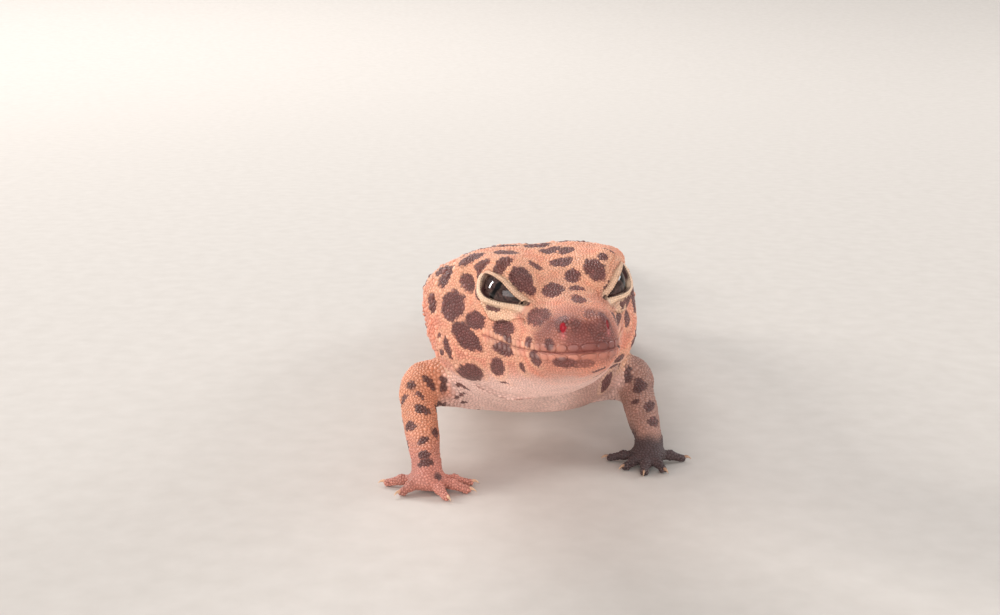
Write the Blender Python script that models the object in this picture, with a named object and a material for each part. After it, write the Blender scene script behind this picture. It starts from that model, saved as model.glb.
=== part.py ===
"""A leopard gecko at life size, standing with its head raised and turned a little to its left.

The animal is modelled whole: one closed loft from the snout to the tip of the tail, whose rings are read from smooth
sections, with the limbs grown onto it.  Thin cuts then part it where a person would name its parts.
Lengths below are in millimetres.  The gecko faces -Y, its left is +X, and it stands on z = 0.
"""

import math

import bmesh
import bpy
import numpy as np
from mathutils import Matrix, Vector

MM = 0.001
GAP = 0.30                      # room between neighbouring pieces
ORIGIN = np.array([0.75, 52.93, 0.0])   # where the part's own origin lies in the working frame below
RING = 28                       # points round the body
FLOOR_DIP = 0.10                # soles and tail reach this far below the floor before they are cut flat


def table(rows):
    """A smooth curve through rows of (place, value, value, ...) that never overshoots them."""
    rows = np.array(rows, float)
    x, v = rows[:, 0], rows[:, 1:]
    h = np.diff(x)
    d = np.diff(v, axis=0) / h[:, None]
    m = np.zeros_like(v)
    m[0], m[-1] = d[0], d[-1]
    w1, w2 = 2 * h[1:] + h[:-1], h[1:] + 2 * h[:-1]
    with np.errstate(divide="ignore", invalid="ignore"):
        mean = (w1 + w2)[:, None] / (w1[:, None] / d[:-1] + w2[:, None] / d[1:])
    m[1:-1] = np.where(d[:-1] * d[1:] > 0, mean, 0.0)

    def at(y):
        y = np.clip(np.asarray(y, float), x[0], x[-1])
        i = np.clip(np.searchsorted(x, y, side="right") - 1, 0, len(x) - 2)
        t = (y - x[i]) / h[i]
        a, b = 2 * t**3 - 3 * t**2 + 1, t**3 - 2 * t**2 + t
        c, e = -2 * t**3 + 3 * t**2, t**3 - t**2
        return [a * v[i, k] + b * h[i] * m[i, k] + c * v[i + 1, k] + e * h[i] * m[i + 1, k] for k in range(v.shape[1])]

    return at


# ------------------------------------------------------------------ the head, in its own frame
# Snout tip at the origin on the lip line, +Y back along the skull, +Z up.
HEAD_AT = np.array([5.1, -45.0, 26.4])
HEAD_YAW, HEAD_PITCH, HEAD_ROLL = math.radians(13.8), math.radians(-7.0), math.radians(-1.0)
#   back   half-width  top   bottom  widest at z  squareness above, below
HEAD = table([
    (0.00, 0.30, 0.90, -0.50, 0.3, 2.0, 2.0),
    (0.30, 1.90, 2.00, -1.50, 0.3, 2.1, 2.1),
    (0.90, 2.95, 3.10, -2.20, 0.3, 2.2, 2.2),
    (2.00, 3.90, 4.00, -2.75, 0.4, 2.3, 2.3),
    (4.00, 4.85, 4.85, -3.40, 0.5, 2.4, 2.4),
    (6.50, 5.55, 5.70, -4.30, 0.6, 2.4, 2.4),
    (9.50, 6.60, 7.20, -5.40, 1.0, 2.35, 2.3),
    (12.5, 8.10, 9.00, -6.50, 1.7, 2.25, 2.25),
    (16.0, 10.1, 10.05, -7.50, 2.7, 2.3, 2.2),
    (20.0, 12.1, 10.50, -8.10, 3.8, 2.3, 2.15),
    (24.5, 13.2, 10.25, -8.30, 4.5, 2.3, 2.1),
    (28.0, 12.7, 9.70, -8.30, 4.2, 2.25, 2.1),
    (31.0, 10.9, 9.00, -8.30, 3.2, 2.2, 2.1),
    (34.0, 9.30, 8.20, -8.60, 1.8, 2.1, 2.1),
    (37.0, 8.40, 7.30, -9.00, 0.8, 2.1, 2.1),
    (40.0, 7.60, 6.20, -9.20, 0.3, 2.1, 2.1),
    (44.0, 6.60, 4.20, -9.20, -0.8, 2.1, 2.1),
])
EYE_AT, EYE_R, LID_R = np.array([4.72, 13.2, 5.30]), 3.85, 4.60
CANTHUS_FRONT, CANTHUS_BACK = np.array([0.05, -0.99, -0.12]), np.array([0.80, -0.15, 0.56])
LID_OPEN_UP, LID_OPEN_DOWN = math.radians(15), math.radians(17)
EAR_AT, EAR_HALF, EAR_OUT = (28.4, 1.5), (0.85, 1.65), (0.90, 0.43, 0.0)
JAW_BACK = 16.4                 # how far back the lips part
HEAD_BACK = 30.6                # where head gives way to neck

# ------------------------------------------------------------------ neck, trunk and tail
#     y     centre x,  z    half-width  up   down  squareness above, below
BODY = table([
    (-17.0, -2.2, 21.6, 7.2, 7.4, 8.8, 2.0, 2.0),
    (-12.0, -1.9, 20.4, 8.2, 8.1, 9.4, 2.0, 2.1),
    (-6.0, -0.9, 17.6, 9.8, 9.2, 9.8, 2.15, 2.4),
    (0.0, -0.2, 14.8, 12.0, 10.1, 9.2, 2.3, 3.0),
    (6.0, 0.2, 13.2, 13.2, 10.5, 8.0, 2.3, 3.0),
    (14.0, 0.6, 12.2, 14.2, 10.7, 7.3, 2.2, 2.5),
    (26.0, 1.0, 11.6, 15.9, 10.4, 7.3, 2.1, 2.3),
    (38.0, 1.2, 11.4, 16.2, 10.2, 7.3, 2.08, 2.3),
    (48.0, 1.4, 11.5, 14.6, 8.9, 6.7, 2.08, 2.3),
    (57.0, 1.5, 11.3, 11.7, 7.6, 5.9, 2.1, 2.2),
    (65.0, 1.3, 10.7, 9.0, 6.7, 5.3, 2.1, 2.1),
    (70.0, 1.2, 9.5, 6.7, 5.8, 4.9, 2.05, 2.05),
    (74.0, 1.3, 8.3, 5.5, 4.9, 4.6, 2.0, 2.0),
    (79.0, 1.8, 6.9, 5.7, 4.9, 4.7, 2.0, 2.0),
    (87.0, 3.3, 5.5, 6.8, 5.3, 5.2, 2.0, 2.1),
    (97.0, 6.6, 5.2, 7.3, 5.3, 5.3, 2.0, 2.1),
    (107.0, 10.5, 4.6, 6.6, 4.7, 4.7, 2.0, 2.1),
    (118.0, 13.9, 3.5, 5.1, 3.6, 3.6, 2.0, 2.1),
    (130.0, 15.4, 2.4, 3.4, 2.5, 2.5, 2.0, 2.1),
    (141.0, 14.4, 1.5, 2.0, 1.55, 1.6, 2.0, 2.0),
    (148.0, 12.3, 0.85, 1.0, 0.85, 0.95, 2.0, 2.0),
    (151.0, 11.0, 0.55, 0.35, 0.32, 0.4, 2.0, 2.0),
])
BODY_FRONT, BODY_BACK = -17.0, 151.0
CUTS = {"neck": (-30.0, 1.0), "trunk_front": (1.0, 31.0), "trunk_rear": (31.0, 73.0),
        "tail_base": (73.0, 97.0), "tail_middle": (97.0, 122.0), "tail_tip": (122.0, 165.0)}

# ------------------------------------------------------------------ limbs: joints, girths and toes
UPPER_ARM, FOREARM = (3.9, 3.7, 3.2), (2.5, 2.4, 1.85)
THIGH, SHIN = (4.9, 4.4, 3.3), (3.0, 2.8, 1.9)
HIND_TOES = [(-52, 6.6), (-26, 8.4), (-4, 9.8), (16, 10.2), (44, 7.6)]   # bearing outwards from straight ahead, length


def hind_tips(x, y, side):
    return [(x + side * n * math.sin(math.radians(a)), y - n * math.cos(math.radians(a))) for a, n in HIND_TOES]


LIMBS = {
    "front_right": dict(top=(-6.5, 3.5, 9.7), mid=(-15.0, -0.9, 10.1), fore=(-16.1, -2.6, 8.7), end=(-14.3, -14.4, 3.1),
                        palm=(-14.1, -16.0, 1.45), girths=(UPPER_ARM, FOREARM), parts=("upper_arm", "forearm", "front_foot"),
                        tips=[(-7.1, -14.7), (-7.4, -18.1), (-10.7, -21.7), (-18.4, -19.6), (-20.9, -14.7)]),
    "front_left": dict(top=(6.5, 7.0, 9.4), mid=(14.6, 8.4, 8.4), fore=(15.3, 7.2, 7.7), end=(16.3, -4.6, 3.1),
                       palm=(16.0, -6.2, 1.45), girths=(UPPER_ARM, FOREARM), parts=("upper_arm", "forearm", "front_foot"),
                       tips=[(9.5, -4.6), (11.6, -9.5), (14.8, -12.3), (18.4, -11.2), (22.4, -4.9)]),
    "hind_right": dict(top=(-5.5, 64.0, 10.6), mid=(-13.2, 53.5, 9.5), fore=(-13.3, 54.4, 9.0), end=(-11.6, 66.0, 3.9),
                       palm=(-11.6, 62.8, 1.5), girths=(THIGH, SHIN), parts=("thigh", "shin", "hind_foot"),
                       tips=hind_tips(-11.6, 62.8, -1)),
    "hind_left": dict(top=(7.5, 65.0, 10.6), mid=(16.2, 56.5, 9.5), fore=(16.3, 57.4, 9.0), end=(14.4, 68.6, 3.9),
                      palm=(14.4, 65.6, 1.5), girths=(THIGH, SHIN), parts=("thigh", "shin", "hind_foot"),
                      tips=hind_tips(14.4, 65.6, 1)),
}
PALM_HALF = (2.5, 2.7, 1.55)
TOE_ROOT, TOE_END = 1.02, 0.64
CLAW_LONG, CLAW_THICK = 1.15, 0.40

ORANGE, PALE, BROWN = (0.55, 0.24, 0.10), (0.66, 0.42, 0.30), (0.30, 0.14, 0.09)
EYE_BLACK, CLAW_TAN = (0.012, 0.010, 0.010), (0.42, 0.24, 0.12)


# ------------------------------------------------------------------ the smooth shape behind the rings
def unit(v):
    v = np.asarray(v, float)
    return v / np.linalg.norm(v)


def head_axes():
    cy, sy, cp, sp = math.cos(HEAD_YAW), math.sin(HEAD_YAW), math.cos(HEAD_PITCH), math.sin(HEAD_PITCH)
    cr, sr = math.cos(HEAD_ROLL), math.sin(HEAD_ROLL)
    return (np.array([[cy, -sy, 0], [sy, cy, 0], [0, 0, 1]]) @ np.array([[1, 0, 0], [0, cp, -sp], [0, sp, cp]])
            @ np.array([[cr, 0, sr], [0, 1, 0], [-sr, 0, cr]]))


AXES = head_axes()


def from_head(q):
    return np.asarray(q, float) @ AXES.T + HEAD_AT


def to_head(p):
    return (p - HEAD_AT) @ AXES


def soft_union(a, b, k):
    h = np.maximum(k - np.abs(a - b), 0) / k
    return np.minimum(a, b) - h * h * k * 0.25


def soft_cut(a, b, k):
    return -soft_union(-a, b, k)


def section(x, z, half, up, down, above, below):
    """How far (x, z) is outside a rounded section, measured from its middle."""
    n = np.where(z > 0, above, below)
    rho = ((np.abs(x) / half) ** n + (np.abs(z) / np.where(z > 0, up, down)) ** n) ** (1 / n)
    rho = np.maximum(rho, 1e-6)
    return np.maximum(np.hypot(x, z) * (1 - 1 / rho), -np.minimum(half, up))


def blob(p, at, half):
    q = (p - np.asarray(at, float)) / np.asarray(half, float)
    n = np.linalg.norm(q, axis=1)
    return n * (n - 1) / np.maximum(np.linalg.norm(q / np.asarray(half, float), axis=1), 1e-9)


def rod(p, a, b, ra, rb):
    a, b = np.asarray(a, float), np.asarray(b, float)
    t = np.clip((p - a) @ (b - a) / ((b - a) @ (b - a)), 0, 1)
    return np.linalg.norm(p - a - t[:, None] * (b - a), axis=1) - (ra + (rb - ra) * t)


def head_shape(q):
    w, top, low, level, above, below = HEAD(q[:, 1])
    d = section(q[:, 0], q[:, 2] - level, w, top - level, level - low, above, below)
    d = np.maximum(d, np.maximum(-q[:, 1], q[:, 1] - 44.0))
    m = q.copy()
    m[:, 0] = np.abs(m[:, 0])
    d = soft_cut(d, blob(m, (8.4, 6.0, 4.7), (2.4, 3.6, 1.7)), 1.4)          # hollow between nostril and eye
    d = soft_union(d, blob(m, (8.8, 22.6, -0.6), (4.0, 6.2, 4.8)), 2.5)      # jaw muscle
    d = soft_union(d, np.linalg.norm(m - EYE_AT, axis=1) - LID_R, 1.3)       # lids over the eyeball
    d = soft_union(d, rod(m, (4.2, 9.4, 6.4), (6.2, 12.6, 8.35), 0.9, 1.1), 1.2)    # brow
    d = soft_union(d, rod(m, (6.2, 12.6, 8.35), (7.6, 16.6, 8.1), 1.1, 1.2), 1.8)
    d = soft_union(d, blob(m, (5.0, 18.2, 8.45), (5.2, 5.0, 1.95)), 2.0)  # fullness of the crown
    return soft_union(d, blob(m, (1.75, 1.55, 2.7), (1.25, 1.3, 1.15)), 0.9)  # swelling round the nostril


def body_shape(p):
    cx, cz, w, up, down, above, below = BODY(p[:, 1])
    d = section(p[:, 0] - cx, p[:, 2] - cz, w, up, down, above, below)
    d = np.maximum(d, np.maximum(BODY_FRONT - p[:, 1], p[:, 1] - BODY_BACK))
    near = p[:, 1] < 6.0
    out = d.copy()
    out[near] = soft_union(head_shape(to_head(p[near])), d[near], 4.0)
    return out


# ------------------------------------------------------------------ making meshes
def make(name, points, faces):
    mesh = bpy.data.meshes.new(name)
    mesh.from_pydata([tuple((np.asarray(p, float) - ORIGIN) * MM) for p in points], [], [tuple(f) for f in faces])
    bm = bmesh.new()
    bm.from_mesh(mesh)
    bmesh.ops.recalc_face_normals(bm, faces=bm.faces)
    bm.to_mesh(mesh)
    bm.free()
    obj = bpy.data.objects.new(name, mesh)
    bpy.context.scene.collection.objects.link(obj)
    return obj


def loft(name, rings, start=None, end=None):
    """A closed skin over rings of equal count, ended by a point or by a flat fan."""
    n = len(rings[0])
    points = [p for ring in rings for p in ring]
    faces = [(i * n + j, i * n + (j + 1) % n, (i + 1) * n + (j + 1) % n, (i + 1) * n + j)
             for i in range(len(rings) - 1) for j in range(n)]
    for ring, tip, last in ((0, start, False), (len(rings) - 1, end, True)):
        tip = np.mean(rings[ring], axis=0) if tip is None else tip
        points.append(tip)
        k = len(points) - 1
        faces += [(ring * n + j, ring * n + (j + 1) % n, k) for j in range(n)]
    return make(name, points, faces)


def frame_of(direction):
    d = unit(direction)
    side = unit(np.cross(d, (0, 0, 1.0))) if abs(d[2]) < 0.95 else unit(np.cross(d, (0, 1.0, 0)))
    return side, np.cross(side, d), d


def tube(name, a, b, girths, n=14, grow=0.0):
    """A limb's length: round ends on a and b, and the three girths between."""
    a, b = np.asarray(a, float), np.asarray(b, float)
    side, up, d = frame_of(b - a)
    long = np.linalg.norm(b - a)
    r0, r1, r2 = (g + grow for g in girths)
    profile = [(-r0 * math.sin(t), r0 * math.cos(t)) for t in (1.0, 0.5)]
    profile += [(0.0, r0), (long * 0.3, (r0 + r1) * 0.505), (long * 0.65, (r1 * 0.7 + r2 * 0.3) * 1.01), (long, r2)]
    profile += [(long + r2 * math.sin(t), r2 * math.cos(t)) for t in (0.5, 1.0)]
    rings = [[a + d * s + (side * math.cos(2 * math.pi * j / n) + up * math.sin(2 * math.pi * j / n)) * r for j in range(n)]
             for s, r in profile]
    return loft(name, rings, a - d * r0, b + d * r2)


def bent(name, path, girths, n=7):
    """A toe: rings across a bent path, with round ends."""
    path = [np.asarray(p, float) for p in path]
    runs = [unit(b - a) for a, b in zip(path, path[1:])]
    flat = unit((-runs[0][1], runs[0][0], 0))
    rings = []
    for i, (p, r) in enumerate(zip(path, girths)):
        ahead = unit(runs[max(i - 1, 0)] + runs[min(i, len(runs) - 1)])
        up = np.cross(ahead, flat)
        up = up if up[2] > 0 else -up
        ring = [flat * math.cos(2 * math.pi * (j + 0.5) / n) + up * math.sin(2 * math.pi * (j + 0.5) / n) for j in range(n)]
        if i == 0:
            rings.append([p - ahead * r * 0.6 + q * r * 0.8 for q in ring])
        rings.append([p + q * r for q in ring])
        if i == len(path) - 1:
            rings.append([p + ahead * r * 0.6 + q * r * 0.8 for q in ring])
    return loft(name, rings, path[0] - runs[0] * girths[0], path[-1] + runs[-1] * girths[-1])


def ball(name, at, half, segments, rings, axis=(0, 0, 1.0)):
    side, up, d = frame_of(axis)
    at, half = np.asarray(at, float), np.asarray(half, float)
    rows = [[at + (side * half[0] * math.cos(2 * math.pi * j / segments) + up * half[1] * math.sin(2 * math.pi * j / segments))
             * math.sin(math.pi * i / rings) - d * half[2] * math.cos(math.pi * i / rings) for j in range(segments)]
            for i in range(1, rings)]
    return loft(name, rows, at - d * half[2], at + d * half[2])


def box(name, low, high, place=None):
    points = [np.array([x, y, z], float) for x in (low[0], high[0]) for y in (low[1], high[1]) for z in (low[2], high[2])]
    points = [place(p) for p in points] if place else points
    return make(name, points, [(0, 1, 3, 2), (4, 6, 7, 5), (0, 4, 5, 1), (2, 3, 7, 6), (0, 2, 6, 4), (1, 5, 7, 3)])


def drop(*objects):
    for obj in objects:
        mesh = obj.data
        bpy.data.objects.remove(obj)
        bpy.data.meshes.remove(mesh)


def combine(obj, other, operation, keep=False):
    """Applies a Boolean to obj and, unless it is kept, removes the other solid."""
    mod = obj.modifiers.new("cut", "BOOLEAN")
    mod.operation, mod.object, mod.solver = operation, other, "EXACT"
    graph = bpy.context.evaluated_depsgraph_get()
    mesh = bpy.data.meshes.new_from_object(obj.evaluated_get(graph))
    obj.modifiers.clear()
    old = obj.data
    obj.data = mesh
    bpy.data.meshes.remove(old)
    if not keep:
        drop(other)
    return obj


def copy(obj, name):
    new = bpy.data.objects.new(name, obj.data.copy())
    bpy.context.scene.collection.objects.link(new)
    return new


def remove_flaps(bm):
    """Takes away pairs of faces that lie back to back on the same three points."""
    seen = {}
    for face in bm.faces:
        seen.setdefault(frozenset(v.index for v in face.verts), []).append(face)
    flaps = [face for faces in seen.values() if len(faces) > 1 for face in faces]
    bmesh.ops.delete(bm, geom=flaps, context="FACES_ONLY")
    bmesh.ops.delete(bm, geom=[e for e in bm.edges if not e.link_faces], context="EDGES")
    bmesh.ops.delete(bm, geom=[v for v in bm.verts if not v.link_faces], context="VERTS")


def finish(obj, name, colour, rough=0.6):
    material = bpy.data.materials.new(name)
    material.use_nodes = True
    shader = material.node_tree.nodes["Principled BSDF"]
    shader.inputs["Base Color"].default_value = (*colour, 1)
    shader.inputs["Roughness"].default_value = rough
    shader.inputs["Metallic"].default_value = 0.0
    bm = bmesh.new()
    bm.from_mesh(obj.data)
    bmesh.ops.remove_doubles(bm, verts=bm.verts, dist=1e-7)
    bmesh.ops.triangulate(bm, faces=bm.faces)
    remove_flaps(bm)
    bmesh.ops.recalc_face_normals(bm, faces=bm.faces)
    bm.to_mesh(obj.data)
    bm.free()
    obj.data.materials.clear()
    obj.data.materials.append(material)
    obj.data.shade_smooth()
    obj.data.set_sharp_from_angle(angle=math.radians(40))
    obj.name = obj.data.name = name
    return obj


# ------------------------------------------------------------------ the body, snout to tail
def cast(centre, across, upward, grow):
    """One ring: the outermost crossing of the shape on rays from a point inside it."""
    reach = np.arange(0.05, 19.0, 0.05)
    ring = []
    for j in range(RING):
        turn = 2 * math.pi * (j + 0.5) / RING
        d = across * math.cos(turn) + upward * math.sin(turn)
        value = body_shape(centre + reach[:, None] * d)
        last = np.nonzero(value < 0)[0]
        i = last[-1] if len(last) else 0
        r = reach[i] + 0.05 * (-value[i] / max(value[min(i + 1, len(value) - 1)] - value[i], 1e-9))
        ring.append(centre + (r + grow) * d)
    return ring


def body_rings(grow=0.0):
    rings = []
    for y in (0.12, 0.45, 1.0, 1.8, 2.9, 4.4, 6.2, 8.0, 9.4, 10.8, 12.2, 13.6, 15.0, 16.4, 18.0, 20.2, 22.6, 25.0, 27.2, 29.4, 31.4):
        level = float(HEAD(y)[3]) + (1.2 if 8 < y < 19 else 0.2)
        rings.append(cast(from_head((0, y, level)), AXES[:, 0], AXES[:, 2], grow))
    for y in (-8.5, -2.0, 4.0, 10.0, 18.0, 27.0, 36.0, 44.0, 51.0, 57.0, 62.5, 67.0, 70.0, 73.0, 76.5, 81.0, 86.0, 92.0, 99.0,
              106.0, 113.0, 120.0, 127.0, 134.0, 140.0, 145.0, 148.5, 150.6):
        cx, cz = (float(v) for v in BODY(y)[:2])
        rings.append(cast(np.array([cx, y, cz]), np.array([1.0, 0, 0]), np.array([0, 0, 1.0]), grow))
    return rings


def eye_axes(side):
    front, back = unit(CANTHUS_FRONT), unit(CANTHUS_BACK)
    gaze = unit(front + back)
    along = unit(front - back)
    up = np.cross(gaze, along)
    up *= np.sign(up[2])
    half = math.acos(float(front @ back)) / 2
    flip = np.array([side, 1, 1])
    return gaze * flip, along * flip, up * flip, half, EYE_AT * flip


def lid_opening(side):
    """The almond between the lids, as a cone from the middle of the eyeball."""
    gaze, along, up, half, at = eye_axes(side)
    n, rim = 9, []
    for i in range(2 * n):
        t = -1 + 2 * i / n if i < n else 1 - 2 * (i - n) / n
        a = t * half
        b = (LID_OPEN_UP if i < n else -LID_OPEN_DOWN) * (1 - t * t)
        rim.append(from_head(at + 6.4 * ((gaze * math.cos(a) + along * math.sin(a)) * math.cos(b) + up * math.sin(b))))
    tip, cap = from_head(at - gaze * 0.5), from_head(at + gaze * 7.4)
    count = len(rim)
    faces = [(j, (j + 1) % count, count) for j in range(count)] + [((j + 1) % count, j, count + 1) for j in range(count)]
    return make("opening", rim + [tip, cap], faces)


def ear_plug(name, side, half, inner, outer):
    """An upright oval plug along the ear's own direction; depths are from the skin, outwards positive."""
    out = unit(EAR_OUT) * np.array([side, 1, 1])
    reach = np.arange(5.0, 18.0, 0.02)
    start = np.array([0.0, EAR_AT[0] - 5.2, EAR_AT[1]])
    value = body_shape(from_head(start + reach[:, None] * out))
    skin = start + reach[np.nonzero(value < 0)[0][-1]] * out
    across, up = np.cross((0, 0, 1.0), out), np.array([0, 0, 1.0])
    rings = [[from_head(skin + out * s + across * half[0] * math.cos(2 * math.pi * j / 12) + up * half[1] * math.sin(2 * math.pi * j / 12))
              for j in range(12)] for s in (inner, outer)]
    return loft(name, rings)


def build_body():
    whole = loft("whole", body_rings(), from_head((0, 0.0, 0.2)), np.array([10.9, BODY_BACK, 0.5]))
    combine(whole, box("floor", (-60, -60, -20), (60, 200, 0)), "DIFFERENCE")
    sleeve = loft("sleeve", body_rings(GAP), from_head((0, -GAP, 0.2)), np.array([10.9, BODY_BACK + GAP, 0.5]))

    for name, (start, stop) in CUTS.items():
        piece = copy(whole, name)
        combine(piece, box("cell", (-60, start + (GAP if start > -30 else 0), -30), (60, stop, 80)), "INTERSECT")
        if name == "neck":
            combine(piece, box("fore", (-60, -60, -60), (60, HEAD_BACK + GAP, 60), from_head), "DIFFERENCE")
        finish(piece, name, PALE if name.startswith("tail") else ORANGE)

    head = combine(whole, box("cell", (-60, -20, -60), (60, HEAD_BACK, 60), from_head), "INTERSECT")
    for side in (1, -1):
        gaze, along, up, half, at = eye_axes(side)
        socket = ball("socket", from_head(at), (EYE_R + GAP - 0.05,) * 3, 14, 9, AXES @ gaze)
        combine(head, socket, "DIFFERENCE")
        combine(head, lid_opening(side), "DIFFERENCE")
        combine(head, ear_plug("pit", side, EAR_HALF, -1.7, 3.0), "DIFFERENCE")
        word = "left" if side > 0 else "right"
        eye = ball("eye", from_head(at), (EYE_R,) * 3, 14, 9, AXES @ gaze)
        finish(eye, word + "_eye", EYE_BLACK, 0.08)
        drum = ear_plug("drum", side, (EAR_HALF[0] - GAP, EAR_HALF[1] - GAP), -1.7 + GAP, -0.8)
        finish(drum, word + "_ear", BROWN)
    jaw = copy(head, "jaw")
    combine(jaw, box("below", (-60, -20, -60), (60, JAW_BACK, -GAP / 2 - 0.1), from_head), "INTERSECT")
    combine(head, box("below", (-60, -20, -60), (60, JAW_BACK + GAP, GAP / 2 - 0.1), from_head), "DIFFERENCE")
    finish(jaw, "lower_jaw", PALE)
    finish(head, "head", ORANGE)
    return sleeve


# ------------------------------------------------------------------ limbs
def build_limb(word, spec, sleeve):
    (upper_name, lower_name, foot_name) = spec["parts"]
    place, side_word = word.split("_")
    sole = box("sole", (-60, -60, -20), (60, 200, 0))

    upper = combine(tube("upper", spec["top"], spec["mid"], spec["girths"][0]), sleeve, "DIFFERENCE", keep=True)
    finish(upper, f"{side_word}_{upper_name}", ORANGE)

    lower = tube("lower", spec["fore"], spec["end"], spec["girths"][1], 12)
    combine(lower, tube("room", spec["top"], spec["mid"], spec["girths"][0], 14, GAP), "DIFFERENCE")
    combine(lower, sleeve, "DIFFERENCE", keep=True)
    finish(lower, f"{side_word}_{lower_name}", ORANGE)

    palm = np.array(spec["palm"])
    foot = ball("foot", palm, PALM_HALF, 12, 6)
    combine(foot, bent("heel", (spec["end"], palm + (0, 0, 0.5)), (1.7, 1.65), 10), "UNION")
    for k, (x, y) in enumerate(spec["tips"]):
        ahead = unit((x - palm[0], y - palm[1], 0))
        end = np.array([x, y, TOE_END - FLOOR_DIP]) - ahead * (CLAW_LONG + TOE_END + GAP / 2)
        root = palm + ahead * 0.8 + (0, 0, -0.25)
        knuckle = root * 0.42 + end * 0.58 + (0, 0, 0.28)
        combine(foot, bent("toe", (root, knuckle, end), (TOE_ROOT, 0.84, TOE_END)), "UNION")
        claw_at(f"{side_word}_{place}_claw_{k + 1}", end, ahead)
    combine(foot, tube("room", spec["fore"], spec["end"], spec["girths"][1], 12, GAP), "DIFFERENCE")
    combine(foot, sole, "DIFFERENCE")
    finish(foot, f"{side_word}_{foot_name}", BROWN)


def claw_at(name, end, ahead):
    """A short hooked claw whose hollow root follows the round end of its toe."""
    side = np.array([-ahead[1], ahead[0], 0.0])
    up = np.array([0, 0, 1.0])
    root = TOE_END + GAP * 0.8
    base = math.sqrt(root * root - CLAW_THICK * CLAW_THICK)
    lift = 0.16
    rings = []
    for t in (0.0, 0.5):
        r = CLAW_THICK * (1 - 0.72 * t)
        middle = end + ahead * (base + CLAW_LONG * t) + up * (lift + 0.18 * math.sin(math.pi * t * 0.8) - 0.25 * t * t)
        rings.append([middle + side * r * 0.8 * math.cos(math.pi * j / 2.5) + up * r * math.sin(math.pi * j / 2.5) for j in range(5)])
    tip = end + ahead * (base + CLAW_LONG) + up * (lift - 0.40)
    finish(loft("claw", rings, end + ahead * root + up * lift, tip), name, CLAW_TAN, 0.35)


def main():
    for obj in list(bpy.data.objects):
        bpy.data.objects.remove(obj)
    bpy.context.scene.unit_settings.scale_length = 1.0
    sleeve = build_body()
    for word, spec in LIMBS.items():
        build_limb(word, spec, sleeve)
    drop(sleeve)


main()
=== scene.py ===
import math
import time

import bpy
import numpy as np
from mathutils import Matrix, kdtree


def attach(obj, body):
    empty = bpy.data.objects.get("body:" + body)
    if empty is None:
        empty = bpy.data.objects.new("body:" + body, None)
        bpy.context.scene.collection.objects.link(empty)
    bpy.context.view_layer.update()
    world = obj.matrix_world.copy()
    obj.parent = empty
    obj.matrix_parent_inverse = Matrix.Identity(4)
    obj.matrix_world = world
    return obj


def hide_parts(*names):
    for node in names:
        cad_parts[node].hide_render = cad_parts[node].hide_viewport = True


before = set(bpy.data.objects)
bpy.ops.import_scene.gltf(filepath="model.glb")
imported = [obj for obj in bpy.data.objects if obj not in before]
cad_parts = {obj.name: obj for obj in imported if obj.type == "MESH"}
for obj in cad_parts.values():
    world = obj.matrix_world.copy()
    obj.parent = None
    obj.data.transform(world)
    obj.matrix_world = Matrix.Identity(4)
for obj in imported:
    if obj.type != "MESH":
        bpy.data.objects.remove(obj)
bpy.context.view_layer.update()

# The looks of a leopard gecko at life size.  One skin follows the same smooth sections as the solids, with the face,
# folds and feet worked into it, and scales lie over the skin: granules, conical tubercles, belly plates, lip shields
# and lid beads.  Skin and scales take their colours from the same markings.  Lengths are in millimetres, in a frame
# where the gecko faces -Y, its left is +X and it stands on z = 0.
MM = 0.001
ORIGIN = np.array([0.75, 52.93, 0.0])
CLOCK = time.time()
rng = np.random.default_rng(20)


def tick(word):
    print(f"[{time.time() - CLOCK:6.1f} s] {word}", flush=True)


# ------------------------------------------------------------------ the same sections as the solids
def table(rows):
    """A smooth curve through rows of (place, value, value, ...) that never overshoots them."""
    rows = np.array(rows, float)
    x, v = rows[:, 0], rows[:, 1:]
    h = np.diff(x)
    d = np.diff(v, axis=0) / h[:, None]
    m = np.zeros_like(v)
    m[0], m[-1] = d[0], d[-1]
    w1, w2 = 2 * h[1:] + h[:-1], h[1:] + 2 * h[:-1]
    with np.errstate(divide="ignore", invalid="ignore"):
        mean = (w1 + w2)[:, None] / (w1[:, None] / d[:-1] + w2[:, None] / d[1:])
    m[1:-1] = np.where(d[:-1] * d[1:] > 0, mean, 0.0)

    def at(y):
        y = np.clip(np.asarray(y, float), x[0], x[-1])
        i = np.clip(np.searchsorted(x, y, side="right") - 1, 0, len(x) - 2)
        t = (y - x[i]) / h[i]
        a, b = 2 * t**3 - 3 * t**2 + 1, t**3 - 2 * t**2 + t
        c, e = -2 * t**3 + 3 * t**2, t**3 - t**2
        return [a * v[i, k] + b * h[i] * m[i, k] + c * v[i + 1, k] + e * h[i] * m[i + 1, k] for k in range(v.shape[1])]

    return at


HEAD_AT = np.array([5.1, -45.0, 26.4])
HEAD_YAW, HEAD_PITCH, HEAD_ROLL = math.radians(13.8), math.radians(-7.0), math.radians(-1.0)
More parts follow.
